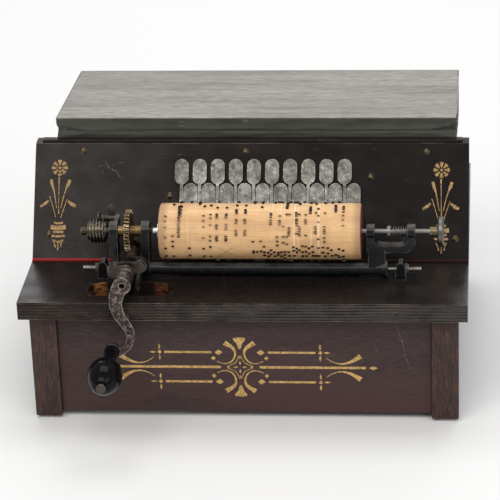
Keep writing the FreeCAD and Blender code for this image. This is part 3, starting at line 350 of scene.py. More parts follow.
def felt_finish(name, base):
    s = Shader(name, roughness=0.95, specular=0.1)
    fuzz = s.noise(2400.0, detail=3.0)
    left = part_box("felt_strip")[0].x
    along = s.share(s.axis("X"), left + FELT_RED_LENGTH, 0.03)
    tone = s.mix(fuzz, base, tuple(c * 0.5 for c in base))
    dust = s.patches([(0.5, 0.0), (0.75, 0.4)], 140.0, detail=5.0)
    tone = s.mix(dust, tone, (0.18, 0.07, 0.05))
    s.paint(s.mix(along, tone, (0.030, 0.012, 0.010)))
    s.bump(fuzz, 0.0002, 0.8)
    return s


def lacquer(name, base):
    """Deep black lacquer with faint wear and dust."""
    s = Shader(name, roughness=0.08, specular=0.09)
    dust = s.patches([(0.66, 0.0), (0.80, 0.25)], 300.0, detail=6.0)
    s.paint(s.mix(dust, base, (0.032, 0.028, 0.026)))
    s.feed("Roughness", s.patches([(0.35, 0.05), (0.75, 0.16)], 120.0, detail=5.0))
    s.bump(s.noise(220.0, detail=2.0), 0.00003, 0.2)
    return s


def gilding(name, base, missing):
    """Bronze-powder stencil work: uneven tone, with bare spots where it has rubbed off."""
    s = Shader(name, roughness=0.5, metallic=0.35)
    tone = s.mix(s.patches([(0.4, 0.0), (0.65, 1.0)], 420.0, detail=5.0), base,
                 tuple(c * 0.55 for c in base))
    s.paint(tone)
    bare = s.patches([(missing - 0.05, 0.0), (missing + 0.04, 1.0)], 620.0, detail=5.0, roughness=0.7)
    s.feed("Alpha", bare)
    return s


def shelf_finish():
    """The shelf's varnish, with bare orange wood inside the slot and round its rim."""
    s = ebonized("shelf_varnish", (0.008, 0.0062, 0.0055), (0.013, 0.0096, 0.0085), ACROSS,
                 gloss=0.24, specular=0.4)
    varnish = s.tone()
    slot = s.times(s.within("X", SLOT_LEFT - SLOT_RIM, SLOT_RIGHT + SLOT_RIM),
                   s.within("Y", SLOT_FRONT - SLOT_RIM, SLOT_BACK + SLOT_RIM))
    facing_up = s.math("ABSOLUTE", s.facing("Z"))
    wall = s.times(slot, s.math("LESS_THAN", facing_up, 0.5))
    patchy = s.noise(150.0, detail=5.0, along=(1.0, 1.0, 3.0))
    bright = s.ramp(patchy, [(0.40, (0.040, 0.018, 0.010)), (0.54, (0.30, 0.12, 0.035)),
                             (0.8, (0.52, 0.24, 0.085))])
    dull = s.ramp(patchy, [(0.40, (0.022, 0.011, 0.008)), (0.56, (0.11, 0.040, 0.020)),
                           (0.8, (0.24, 0.10, 0.045))])
    dark = (0.014, 0.010, 0.008)
    left_end = s.math("SUBTRACT", 1.0, s.share(s.axis("X"), SLOT_LEFT + 0.010, 0.005))
    right_end = s.share(s.axis("X"), SLOT_RIGHT - 0.018, 0.005)
    bare = s.mix(left_end, s.mix(right_end, dark, dull), bright)
    # Darker still at the slot's very ends.
    slot_end_darkening = s.math("MAXIMUM", s.math("LESS_THAN", s.axis("X"), SLOT_LEFT + 0.0035),
                   s.math("GREATER_THAN", s.axis("X"), SLOT_RIGHT - 0.005))
    bare = s.mix(s.times(slot_end_darkening, 0.8), bare, dark)
    chipped = s.times(slot, s.patches([(0.60, 0.0), (0.65, 0.5)], 260.0))
    tone = s.mix(wall, s.mix(chipped, varnish, (0.22, 0.10, 0.045)), bare)
    # Pale lines along the front beads' ridges: partly wear, partly a painted highlight.
    front = s.math("LESS_THAN", s.axis("Y"), SHELF_FRONT + BEADS_DEPTH)
    ridge_wear_and_highlight = s.times(s.times(front, s.edges(0.0005)),
                     s.patches([(0.40, 0.1), (0.60, 1.0)], 75.0, detail=5.0, along=(0.5, 1.0, 1.0)))
    tone = s.mix(ridge_wear_and_highlight, tone, (0.42, 0.34, 0.27))
    s.paint(tone)
    leftwards = s.share(0.02, s.axis("X"), 0.12)
    s.feed("Specular IOR Level", s.ramp(leftwards, [(0.0, 0.42), (1.0, 0.12)]))
    return s


def board_top_finish():
    """The reservoir's grey, dust-marked top board, its greys partly a painted reflection of the bright
    backdrop, with a bare rim under its front edge.
    """
    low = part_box("reservoir_board")[0]
    s = Shader("reservoir_board_stain", roughness=0.5, specular=0.4)
    broad = s.noise(34.0, detail=8.0, along=(0.14, 1.0, 1.0), roughness=0.65)
    # Grey base tones: partly the board's own grey, partly a painted reflection of the bright backdrop.
    tone = s.ramp(broad, [(0.3, (0.170, 0.160, 0.142)), (0.5, (0.270, 0.252, 0.228)),
                          (0.7, (0.345, 0.322, 0.292))])
    near_front = s.share(low.y + 0.05, s.axis("Y"), 0.05)
    tone = s.mix(s.times(near_front, 0.4), tone, (0.36, 0.34, 0.31))
    smears = s.patches([(0.50, 0.0), (0.70, 0.6)], 70.0, detail=6.0, distortion=0.2, along=(0.12, 1.0, 1.0))
    tone = s.mix(smears, tone, (0.085, 0.078, 0.066))
    streaks = s.patches([(0.56, 0.0), (0.66, 0.8)], 620.0, detail=3.0, along=(0.06, 1.0, 1.0), roughness=0.7)
    streaks = s.times(streaks, s.patches([(0.40, 0.0), (0.66, 1.0)], 38.0, detail=3.0, along=(0.5, 1.0, 1.0)))
    tone = s.mix(streaks, tone, (0.072, 0.062, 0.052))
    specks = s.patches([(0.66, 0.0), (0.70, 0.75)], 700.0, detail=3.0, roughness=0.7)
    tone = s.mix(specks, tone, (0.085, 0.070, 0.055))
    marks = s.math("MAXIMUM", s.scratches((0.3, 3.0, 1.0), 90.0, keep=0.025),
                   s.scratches((2.5, 0.5, 1.0), 120.0, keep=0.02))
    tone = s.mix(s.times(marks, 0.5), tone, (0.30, 0.28, 0.26))
    fibre = s.noise(800.0, detail=3.0, along=(0.12, 1.0, 1.0))
    tone = s.mix(s.ramp(fibre, [(0.4, 0.5), (0.6, 0.0)]), tone, (0.055, 0.048, 0.042))
    worn = s.times(s.edges(0.0012), s.patches([(0.4, 0.25), (0.6, 0.9)], 70.0))
    tone = s.mix(worn, tone, (0.26, 0.19, 0.13))
    s.paint(tone)
    s.bump(s.math("ADD", fibre, s.times(marks, -1.0)), 0.00012, 0.5)
    return s


def cob_finish():
    """The pale roller: turned wood with handling stains and a red right-hand end."""
    low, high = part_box("cob")
    s = Shader("cob_wood", roughness=0.55)
    grain = s.noise(80.0, detail=6.0, along=(0.10, 1.0, 1.0), distortion=0.3)
    tone = s.ramp(grain, [(0.3, (0.56, 0.32, 0.145)), (0.5, (0.70, 0.43, 0.205)),
                          (0.7, (0.80, 0.53, 0.275))])
    fibre = s.noise(1000.0, detail=3.0, along=(0.08, 1.0, 1.0))
    tone = s.mix(s.ramp(fibre, [(0.38, 0.35), (0.58, 0.0)]), tone, (0.42, 0.22, 0.09))
    stains = s.patches([(0.5, 0.0), (0.74, 0.45)], 34.0, detail=6.0)
    tone = s.mix(stains, tone, (0.36, 0.20, 0.095))
    turned = s.patches([(0.57, 0.0), (0.66, 0.75)], 700.0, detail=2.0, along=(1.0, 0.015, 0.015))
    turned = s.times(turned, s.patches([(0.46, 0.1), (0.6, 1.0)], 30.0, detail=1.0, along=(1.0, 0.02, 0.02)))
    tone = s.mix(turned, tone, (0.86, 0.62, 0.36))
    near_end = s.math("SUBTRACT", 1.0, s.within("X", low.x + 0.004, high.x - 0.003, soft=0.004))
    tone = s.mix(s.times(near_end, 0.5), tone, (0.18, 0.10, 0.06))
    face = s.math("GREATER_THAN", s.facing("X"), 0.9)
    end = s.times(face, s.math("GREATER_THAN", s.axis("X"), high.x - 0.001))
    s.paint(s.mix(end, tone, (0.23, 0.035, 0.02)))
    s.bump(fibre, 0.00008, 0.4)
    return s


def pin_finish():
    """The pins: browned steel, with a painted reflection of the bright table on the sides that face down."""
    s = metal("pin_steel", (0.030, 0.024, 0.020), (0.20, 0.18, 0.155), roughness=0.42)
    steel = s.tone()
    # Painted reflection: the sides that face down are made pale, as if lit by the bright table.
    down = s.times(s.facing("Z"), -1.0)
    s.paint(s.mix(s.ramp(down, [(0.35, 0.0), (0.75, 0.8)]), steel, (0.75, 0.72, 0.64)))
    return s


def spindle_finish():
    """The drive spindle: olive-brown thread, with a bright steel flange against the roller."""
    s = metal("spindle_iron", (0.070, 0.058, 0.040), (0.50, 0.46, 0.36), roughness=0.36, rust=0.4,
              rust_tone=(0.034, 0.024, 0.015))
    iron = s.tone()
    flange = s.math("GREATER_THAN", s.axis("X"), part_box("cob")[0].x - 0.0065)
    bright = s.patches([(0.35, (0.30, 0.29, 0.27)), (0.65, (0.72, 0.70, 0.66))], 300.0, detail=5.0)
    s.paint(s.mix(flange, iron, bright))
    return s


def tail_finish():
    """The tail spindle: dull steel, with a greenish brass hub against the disc."""
    s = metal("tail_steel", (0.19, 0.178, 0.165), (0.58, 0.56, 0.53), roughness=0.32)
    steel = s.tone()
    disc_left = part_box("tail_spindle")[1].x - 0.006
    hub = s.within("X", disc_left - 0.006, disc_left - 0.0001)
    patina = s.patches([(0.35, (0.11, 0.085, 0.045)), (0.7, (0.24, 0.19, 0.10))], 300.0, detail=5.0)
    s.paint(s.mix(hub, steel, patina))
    return s


def wheel_finish():
    """The worm wheel: brown brass, pale along the teeth's rubbed edges, partly wear and partly a painted
    highlight.
    """
    # The pale rubbed colour is partly wear and partly a painted highlight on the tooth edges.
    return metal("wheel_brass", (0.20, 0.135, 0.060), (0.90, 0.80, 0.58), roughness=0.40, rust=0.3,
                 rust_tone=(0.060, 0.036, 0.018), blotch=200.0)


def enamel():
    """Glossy black enamel over cast iron: grey where it faces up, partly dust and partly a painted highlight,
    and pale along its edges, partly wear and partly a painted highlight.
    """
    s = Shader("black_enamel", roughness=0.2, specular=0.22)
    tone = s.patches([(0.35, (0.0040, 0.0046, 0.0058)), (0.70, (0.0090, 0.0098, 0.0115))], 180.0, detail=6.0)
    # Up-facing sides turn grey: partly dust, partly a painted highlight.
    upward = s.ramp(s.facing("Z"), [(0.60, 0.0), (0.95, 1.0)])
    dust_and_highlight = s.times(upward, s.patches([(0.36, 0.25), (0.62, 0.85)], 110.0, detail=5.0))
    tone = s.mix(dust_and_highlight, tone, (0.120, 0.117, 0.108))
    # Pale edges: partly worn enamel, partly a painted highlight.
    worn = s.times(s.edges(0.0007), s.patches([(0.42, 0.1), (0.60, 0.9)], 190.0))
    tone = s.mix(worn, tone, (0.30, 0.29, 0.26))
    s.paint(tone)
    glossy = s.patches([(0.3, 0.14), (0.75, 0.34)], 240.0, detail=5.0)
    s.feed("Roughness", s.mix(dust_and_highlight, glossy, (0.7, 0.7, 0.7)))
    s.bump(s.noise(420.0), 0.00012, 0.5)
    return s


def casting_finish():
    """The crank's rough casting: brown-black skin, pitted grey patches and pale rubbed edges, partly wear and
    partly a painted highlight.
    """
    s = Shader("crank_casting", roughness=0.42, metallic=0.75)
    skin = s.patches([(0.36, (0.022, 0.015, 0.013)), (0.50, (0.085, 0.060, 0.054)),
                      (0.64, (0.32, 0.27, 0.25))], 260.0, detail=7.0, roughness=0.7)
    pits = s.patches([(0.52, 0.0), (0.60, 0.85)], 900.0, detail=3.0, roughness=0.6)
    tone = s.mix(pits, skin, (0.020, 0.014, 0.012))
    # Pale edges: partly rubbed iron, partly a painted highlight along the rounded edges.
    rubbed = s.times(s.edges(0.0011), s.patches([(0.35, 0.25), (0.55, 1.0)], 160.0, detail=3.0))
    tone = s.mix(rubbed, tone, (0.62, 0.58, 0.53))
    s.paint(tone)
    s.feed("Roughness", s.patches([(0.3, 0.30), (0.7, 0.60)], 300.0, detail=5.0))
    s.bump(s.noise(520.0, detail=6.0, roughness=0.7), 0.00035, 0.8)
    return s


def board_finish():
    """The inclined board: black stain, streaked grain across, greyer with dust near its foot, and a pale top
    edge that is partly wear and partly a painted highlight.
    """
    s = ebonized("board_stain", (0.0085, 0.0060, 0.0052), (0.0140, 0.0096, 0.0084),
                 (0.10, 1.0, 1.0), gloss=0.42)
    stain = s.tone()
    height = s.share(s.axis("Z"), SHELF_TOP, 0.08)
    dust = s.times(s.ramp(height, [(0.0, 0.35), (0.4, 0.10), (1.0, 0.18)]),
                   s.patches([(0.35, 0.1), (0.7, 1.0)], 30.0, detail=6.0))
    tone = s.mix(dust, stain, (0.050, 0.040, 0.037))
    low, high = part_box("inclined_board")
    rightwards = s.share(s.axis("X"), low.x + 0.05, 0.20)
    tone = s.mix(s.times(rightwards, 0.6), tone, (0.0045, 0.0036, 0.0032))
    s.feed("Specular IOR Level", s.ramp(rightwards, [(0.0, 0.16), (0.5, 0.06), (1.0, 0.06)]))
    # Pale line along the top edge: partly edge wear, partly a painted highlight.
    top_edge_wear_and_highlight = s.times(s.edges(0.0016), s.math("GREATER_THAN", s.axis("Z"), high.z - 0.006))
    top_edge_wear_and_highlight = s.times(top_edge_wear_and_highlight, s.patches([(0.40, 0.15), (0.60, 0.8)], 60.0))
    s.paint(s.mix(top_edge_wear_and_highlight, tone, (0.26, 0.22, 0.18)))
    return s


BLACK = (0.012, 0.0088, 0.0080)
BLACK_STREAK = (0.022, 0.0150, 0.0132)
ACROSS = (0.12, 1.0, 1.0)
DEPTHWISE = (1.0, 0.12, 1.0)
UPRIGHT = (1.0, 1.0, 0.12)


def finishes():
    """Each CAD node's material."""
    pewter = key_finish()
    inner = raw_wood("sawn_wood", (0.36, 0.23, 0.12), (0.20, 0.115, 0.055), ACROSS)
    steel = metal("dull_steel", (0.20, 0.19, 0.175), (0.60, 0.58, 0.55), roughness=0.36, rust=0.25)
    iron = metal("bare_iron", (0.105, 0.090, 0.078), (0.45, 0.41, 0.37), roughness=0.44, rust=0.35,
                 rust_tone=(0.065, 0.040, 0.030))
    japan = enamel()
    rusty = metal("rusty_iron", (0.060, 0.036, 0.030), (0.22, 0.15, 0.12), roughness=0.5, rust=0.6,
                  rust_tone=(0.055, 0.024, 0.016))
    brass = metal("screw_brass", (0.110, 0.086, 0.052), (0.44, 0.38, 0.27), roughness=0.34, blotch=500.0)
    crank = casting_finish()
    cloth = cloth_finish("bellows_cloth", (0.052, 0.053, 0.043), (0.20, 0.20, 0.17))
    by_node = {
        "shelf": shelf_finish(),
        "front_panel": panel_finish(),
        "back_panel": ebonized("back_stain", BLACK, BLACK_STREAK, ACROSS, gloss=0.5),
        "side_panels": ebonized("side_stain", BLACK, BLACK_STREAK, DEPTHWISE, gloss=0.48),
        "corner_posts": post_finish(),
        "base_floor": inner,
        "feet": lacquer_cream(),
        "inclined_board": board_finish(),
        "felt_strip": felt_finish("red_felt", (0.42, 0.035, 0.03)),
        "chest_walls": ebonized("chest_stain", BLACK, BLACK_STREAK, DEPTHWISE, gloss=0.45),
        "chest_top": ebonized("chest_top_stain", (0.0080, 0.0068, 0.0056), (0.0130, 0.0110, 0.0090),
                              ACROSS, gloss=0.45),
        "board_screws": brass,
        "reed_pan": inner,
        "reeds": brass,
        "key_rail": raw_wood("rail_wood", (0.22, 0.13, 0.07), (0.10, 0.06, 0.03), ACROSS),
        "key_rod": steel,
        "reservoir_board": board_top_finish(),
        "feeder_centre_board": inner,
        "feeder_upper_board": inner,
        "feeder_lower_board": inner,
        "feeder_upper_cloth": cloth,
        "feeder_lower_cloth": cloth,
        "reservoir_cloth": cloth,
        "pitman_front": steel,
        "pitman_rear": steel,
        "crank_arm": crank,
        "crankshaft": iron,
        "crank_handle": lacquer("handle_lacquer", (0.004, 0.004, 0.005)),
        "handle_rivet": iron,
        "worm_wheel": wheel_finish(),
        "drive_spindle": spindle_finish(),
        "cob": cob_finish(),
        "cob_pins": pin_finish(),
        "cradle_frame": japan,
        "worm_housing": rusty,
        "pivot_lugs": japan,
        "pivot_screws": steel,
        "tail_spindle": tail_finish(),
        "tail_spring": metal("spring_steel", (0.17, 0.155, 0.14), (0.5, 0.48, 0.45), roughness=0.38,
                             rust=0.2),
        "shift_knife": iron,
    }
    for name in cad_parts:
        if name.startswith("key_") and name not in by_node:
            by_node[name] = pewter
    return by_node


def lacquer_cream():
    s = Shader("foot_cream", roughness=0.4)
    s.paint(s.patches([(0.35, (0.42, 0.34, 0.22)), (0.65, (0.66, 0.58, 0.42))], 300.0, detail=5.0))
    return s


SHARP_NODES = ("shelf", "front_panel", "back_panel", "side_panels", "corner_posts", "base_floor",
               "inclined_board", "chest_walls", "chest_top", "reservoir_board", "felt_strip", "crank_arm")


def dress(node, shader):
    """Puts a material on a CAD node; flat-sided boards also get softened edges."""
    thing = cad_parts[node]
    thing.data.materials.clear()
    thing.data.materials.append(shader.material)
    if node not in SHARP_NODES:
        return
    if "custom_normal" in thing.data.attributes:
        thing.data.attributes.remove(thing.data.attributes["custom_normal"])
    thing.data.shade_flat()
    weld = thing.modifiers.new("weld", "WELD")
    weld.merge_threshold = WELD_DISTANCE
    flat = thing.modifiers.new("flat", "DECIMATE")
    flat.decimate_type = "DISSOLVE"
    flat.angle_limit = radians(1.0)
    soften = thing.modifiers.new("soften", "BEVEL")
    soften.width = SOFT_EDGES.get(node, SOFT_EDGE)
    soften.segments = 3
    soften.limit_method = "ANGLE"
    soften.angle_limit = radians(35)


# Geometry
def piece(name, points, faces, shader, body, smooth=True):
    """A mesh of the scene's own that moves with one CAD body."""
    mesh = bpy.data.meshes.new(name)
    mesh.from_pydata([tuple(p) for p in points], [], faces)
    mesh.update()
    if smooth:
        mesh.shade_smooth()
    thing = bpy.data.objects.new(name, mesh)
    bpy.context.scene.collection.objects.link(thing)
    mesh.materials.append(shader.material)
    if body:
        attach(thing, body)
    return thing


def ribbon(points, widths):
    """A stroke through points, with a width at each, as a strip of four-sided patches."""
    left, right = [], []
    for i, point in enumerate(points):
        before = points[max(i - 1, 0)]
        after = points[min(i + 1, len(points) - 1)]
        along = (Vector(after) - Vector(before)).normalized()
        side = Vector((-along.y, along.x)) * (widths[i] / 2)
        left.append(Vector(point) + side)
        right.append(Vector(point) - side)
    return [[right[i], right[i + 1], left[i + 1], left[i]] for i in range(len(points) - 1)]


def curve(points, widths, steps=18):
    """A smooth stroke through a few points, with the widths eased between them."""
    spots, sizes = [], []
    last = len(points) - 1
    for i in range(steps * last + 1):
        t = i / steps
        k = min(int(t), last - 1)
        share = t - k
        p = [Vector(points[min(max(k + j, 0), last)]) for j in (-1, 0, 1, 2)]
        a = -0.5 * p[0] + 1.5 * p[1] - 1.5 * p[2] + 0.5 * p[3]
        b = p[0] - 2.5 * p[1] + 2 * p[2] - 0.5 * p[3]
        c = 0.5 * (p[2] - p[0])
        spots.append(((a * share + b) * share + c) * share + p[1])
        sizes.append(widths[k] + (widths[k + 1] - widths[k]) * share)
    return ribbon(spots, sizes)


def lozenge(x, y, half_width, half_height):
    return [[Vector((x + half_width, y)), Vector((x, y + half_height)),
             Vector((x - half_width, y)), Vector((x, y - half_height))]]


def disc(x, y, radius, sides=14):
    return [[Vector((x + radius * cos(2 * pi * i / sides),
                     y + radius * sin(2 * pi * i / sides))) for i in range(sides)]]


def mirrored(shapes, across_x=True, across_y=True):
    """The patches of some shapes, with their images left to right and top to bottom."""
    signs = [(1, 1)] + ([(-1, 1)] if across_x else []) + ([(1, -1)] if across_y else [])
    if across_x and across_y:
        signs.append((-1, -1))
    patches = []
    for shape in shapes:
        for patch in shape:
            for sx, sy in signs:
                spots = [Vector((p.x * sx, p.y * sy)) for p in patch]
                patches.append(spots if sx * sy > 0 else spots[::-1])
    return patches


def laid(name, patches, place, shader, body):
    """Flat patches, with each of their points put in its place."""
    points, faces = [], []
    for patch in patches:
        faces.append(tuple(range(len(points), len(points) + len(patch))))
        points += [place(p) for p in patch]
    piece(name, points, faces, shader, body, smooth=False)


def stencil(name, patches, corner, up, lift, shader):
    """Flat patches, in millimetres on a plane, laid just above a board."""
    raised = corner + RIGHT.cross(up) * lift
    laid(name, patches, lambda p: raised + (RIGHT * p.x + up * p.y) * MM, shader, "case")


def panel_ornament():
    """One quarter of the front panel's line-and-scroll stencil, mirrored both ways."""
    quarter = [
        curve([(18.6, 5.2), (12.4, 3.1), (6.4, 5.4), (3.7, 11.3), (5.2, 16.8), (11.9, 21.7)],
              [0.5, 0.8, 1.1, 1.5, 2.6, 4.4]),
        lozenge(16.8, 13.1, 3.3, 2.5),
        lozenge(21.2, 7.9, 1.9, 1.9),
        ribbon([(22.6, 13.2), (60.4, 13.2)], [1.9, 1.9]),
        disc(64.3, 13.2, 1.5),
        lozenge(64.3, 18.0, 1.0, 2.8),
        lozenge(64.3, 8.3, 1.0, 2.8),
        lozenge(69.6, 13.2, 2.8, 1.0),
        curve([(68.9, 8.7), (74.5, 5.0), (81.5, 3.5), (89.0, 5.6), (96.4, 10.4)],
              [0.4, 0.7, 1.3, 2.4, 4.6]),
        curve([(0.7, 10.4), (3.0, 4.9), (5.3, 3.0), (10.2, 0.8)], [0.5, 0.6, 0.6, 0.5]),
    ]
    shapes = mirrored(quarter)
    half = [ribbon([(15.5, 0.0), (100.5, 0.0)], [2.2, 2.2]), lozenge(3.6, 0.0, 2.0, 1.0),
            lozenge(9.3, 0.0, 1.5, 0.7), lozenge(106.5, 0.0, 3.4, 1.9)]
    shapes += mirrored(half, across_y=False)
    shapes += mirrored([lozenge(0.0, 3.6, 1.0, 2.0), lozenge(0.0, 8.6, 0.7, 1.7), palmette()], across_x=False)
    return shapes


def palmette():
    """The fan above the star: a narrow foot and a scalloped top."""
    outline = [Vector((-0.9, 16.2)), Vector((-2.2, 21.0)), Vector((-5.0, 24.6))]
    lobes = 4
    for i in range(lobes):
        for step in range(5):
            along = (i + step / 5) / lobes
            x = -5.0 + 10.0 * along
            lobe = 0.9 * sin(pi * step / 5)
            outline.append(Vector((x, 25.2 + lobe + 0.7 * sin(pi * along))))
    outline += [Vector((5.0, 24.6)), Vector((2.2, 21.0)), Vector((0.9, 16.2))]
    heart = Vector((0.0, 22.5))
    return [[heart, outline[(i + 1) % len(outline)], outline[i]] for i in range(len(outline))]


def vase_ornament():
    """A daisy, bulrushes and leaves over a banded vase; x from its middle, y up the board."""
    shapes = [disc(0.0, 77.2, 1.1)]
    for i in range(8):
        angle = 2 * pi * i / 8
        near = Vector((sin(angle), cos(angle)))
        side = Vector((near.y, -near.x))
        start = Vector((0.0, 77.2)) + near * 2.0
        tip = Vector((0.0, 77.2)) + near * 6.2
        shapes.append([[start - side * 0.35, start + side * 0.35, tip + side * 1.75, tip + near * 0.5,
                        tip - side * 1.75]])
    shapes += [
        curve([(-0.4, 69.8), (-0.3, 62.0), (-0.2, 50.0), (0.1, 38.9)], [1.5, 0.7, 0.5, 0.9]),
        curve([(-7.0, 67.4), (-5.8, 62.5), (-4.3, 57.8), (-2.9, 50.0), (-1.7, 43.4)],
              [2.4, 2.2, 1.0, 0.7, 0.6]),
        curve([(8.6, 67.2), (7.2, 63.2), (5.5, 59.2), (3.2, 51.0), (1.6, 43.4)], [2.4, 2.8, 1.1, 0.7, 0.6]),
        curve([(-7.7, 53.4), (-5.0, 45.0), (-2.4, 36.0)], [0.8, 0.6, 0.5]),
        curve([(6.9, 51.4), (4.4, 44.0), (1.8, 35.6)], [0.5, 0.6, 0.7]),
        curve([(-15.4, 44.8), (-12.0, 46.8), (-8.8, 49.9)], [1.6, 2.5, 1.5]),
        curve([(14.2, 45.2), (10.8, 46.8), (7.5, 49.7)], [2.0, 3.1, 1.3]),
        curve([(-3.7, 31.6), (0.0, 30.9), (3.7, 31.6)], [1.7, 1.6, 1.7]),
        curve([(-6.2, 27.7), (0.0, 27.2), (6.2, 27.7)], [3.8, 3.5, 3.8]),
        curve([(-4.3, 23.6), (0.0, 23.9), (4.3, 23.6)], [2.1, 1.9, 2.1]),
        curve([(-5.5, 20.6), (0.0, 20.1), (5.5, 20.6)], [1.7, 1.8, 1.7]),
        curve([(-4.5, 17.6), (-3.2, 15.4), (-2.5, 13.2), (-1.9, 11.0)], [0.7, 1.0, 0.9, 1.4]),
        curve([(4.4, 17.6), (3.2, 15.4), (2.6, 13.2), (2.4, 11.0)], [0.7, 1.0, 0.9, 1.4]),
        curve([(-2.6, 17.2), (-0.8, 15.4), (0.2, 16.6)], [1.0, 0.8, 0.8]),
        curve([(2.8, 17.2), (1.2, 15.4), (0.2, 16.6)], [1.0, 0.8, 0.8]),
        curve([(0.2, 15.8), (0.1, 12.6), (0.0, 8.6)], [0.9, 0.7, 1.3]),
    ]
    return mirrored(shapes, across_x=False, across_y=False)


# Scratches, in millimetres along X, and up from the ground or from the inclined board's foot
PANEL_SCRATCHES = [([(121.0, 84.6), (125.6, 70.4), (128.6, 57.0), (132.4, 42.6)], [0.15, 0.5, 0.45, 0.12]),
                   ([(101.8, 70.4), (104.8, 64.1), (107.9, 57.0)], [0.12, 0.4, 0.12])]
BOARD_SCRATCHES = [([(-119.8, 83.5), (-118.0, 79.3), (-114.7, 76.0), (-110.5, 74.4), (-108.0, 70.2),
                     (-105.5, 68.6)], [0.15, 0.5, 0.6, 0.4, 0.55, 0.15])]


def scratches():
    """The few long scratches that the photo shows through the stain."""
    s = Shader("scratch_wood", roughness=0.7)
    s.paint(s.patches([(0.35, (0.075, 0.062, 0.055)), (0.7, (0.24, 0.21, 0.19))], 500.0))
    s.feed("Alpha", s.patches([(0.40, 0.0), (0.50, 0.8)], 620.0))
    for name, lines, corner, up in (
            ("panel_scratches", PANEL_SCRATCHES, Vector((0.0, PANEL_FRONT, 0.0)), UP),
            ("board_scratches", BOARD_SCRATCHES, Vector((0.0, BOARD_FOOT_Y, SHELF_TOP)), UP_BOARD)):
        strokes = [curve(points, widths) for points, widths in lines]
        patches = mirrored(strokes, across_x=False, across_y=False)
        stencil(name, patches, corner, up, SCRATCH_LIFT, s)


# The knife cross on the roller: millimetres from its left end, and degrees up from facing forwards
COB_CROSS = [([(47.4, -10.4), (56.0, -28.0), (64.4, -46.7)], [0.15, 0.45, 0.12]),
             ([(59.2, -11.3), (52.0, -28.0), (44.7, -43.3)], [0.15, 0.45, 0.12])]


def roller():
    """The roller's left end, a point of its axis at X = 0, and its radius."""
    low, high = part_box("cob")
    return low.x, Vector((0.0, (low.y + high.y) / 2, (low.z + high.z) / 2)), (high.z - low.z) / 2


def outwards(angle):
    """The way out from the roller's axis, at an angle up from facing forwards."""
    return Vector((0.0, -cos(angle), sin(angle)))


def roller_cross():
    """Two crossed cuts in the roller's wood, wrapped round it."""
    low_x, axis, radius = roller()
    s = Shader("cut_wood", roughness=0.8)
    s.paint(s.patches([(0.35, (0.10, 0.05, 0.025)), (0.7, (0.26, 0.14, 0.07))], 900.0, detail=3.0))
    patches = []
    for spots, widths in COB_CROSS:
        patches += curve([(x, radians(a) * radius / MM) for x, a in spots], widths)

    def wrapped(p):
        out = outwards(p.y * MM / radius) * (radius + SCRATCH_LIFT)
        return Vector((low_x + p.x * MM, 0.0, 0.0)) + axis + out

    laid("roller_cross", patches, wrapped, s, "cob")


PANEL_MIDDLE = Vector((-0.0035, 0.0, 0.0457))
VASE_LEFT_X = -0.1573
VASE_RIGHT_X = 0.1556
VASE_RIGHT_DROP = 1.7


def ornaments():
    bright = gilding("panel_gilding", (0.62, 0.39, 0.135), 0.38)
    faded = gilding("vase_gilding", (0.34, 0.21, 0.075), 0.41)
    centre = Vector((PANEL_MIDDLE.x, PANEL_FRONT, PANEL_MIDDLE.z))
    stencil("panel_stencil", panel_ornament(), centre, UP, PAINT_LIFT, bright)
    foot = Vector((0.0, BOARD_FOOT_Y, SHELF_TOP))
    for name, x, drop in (("vase_stencil_left", VASE_LEFT_X, 0.0),
                          ("vase_stencil_right", VASE_RIGHT_X, VASE_RIGHT_DROP)):
        corner = foot + RIGHT * x - UP_BOARD * drop * MM
        stencil(name, vase_ornament(), corner, UP_BOARD, PAINT_LIFT, faded)


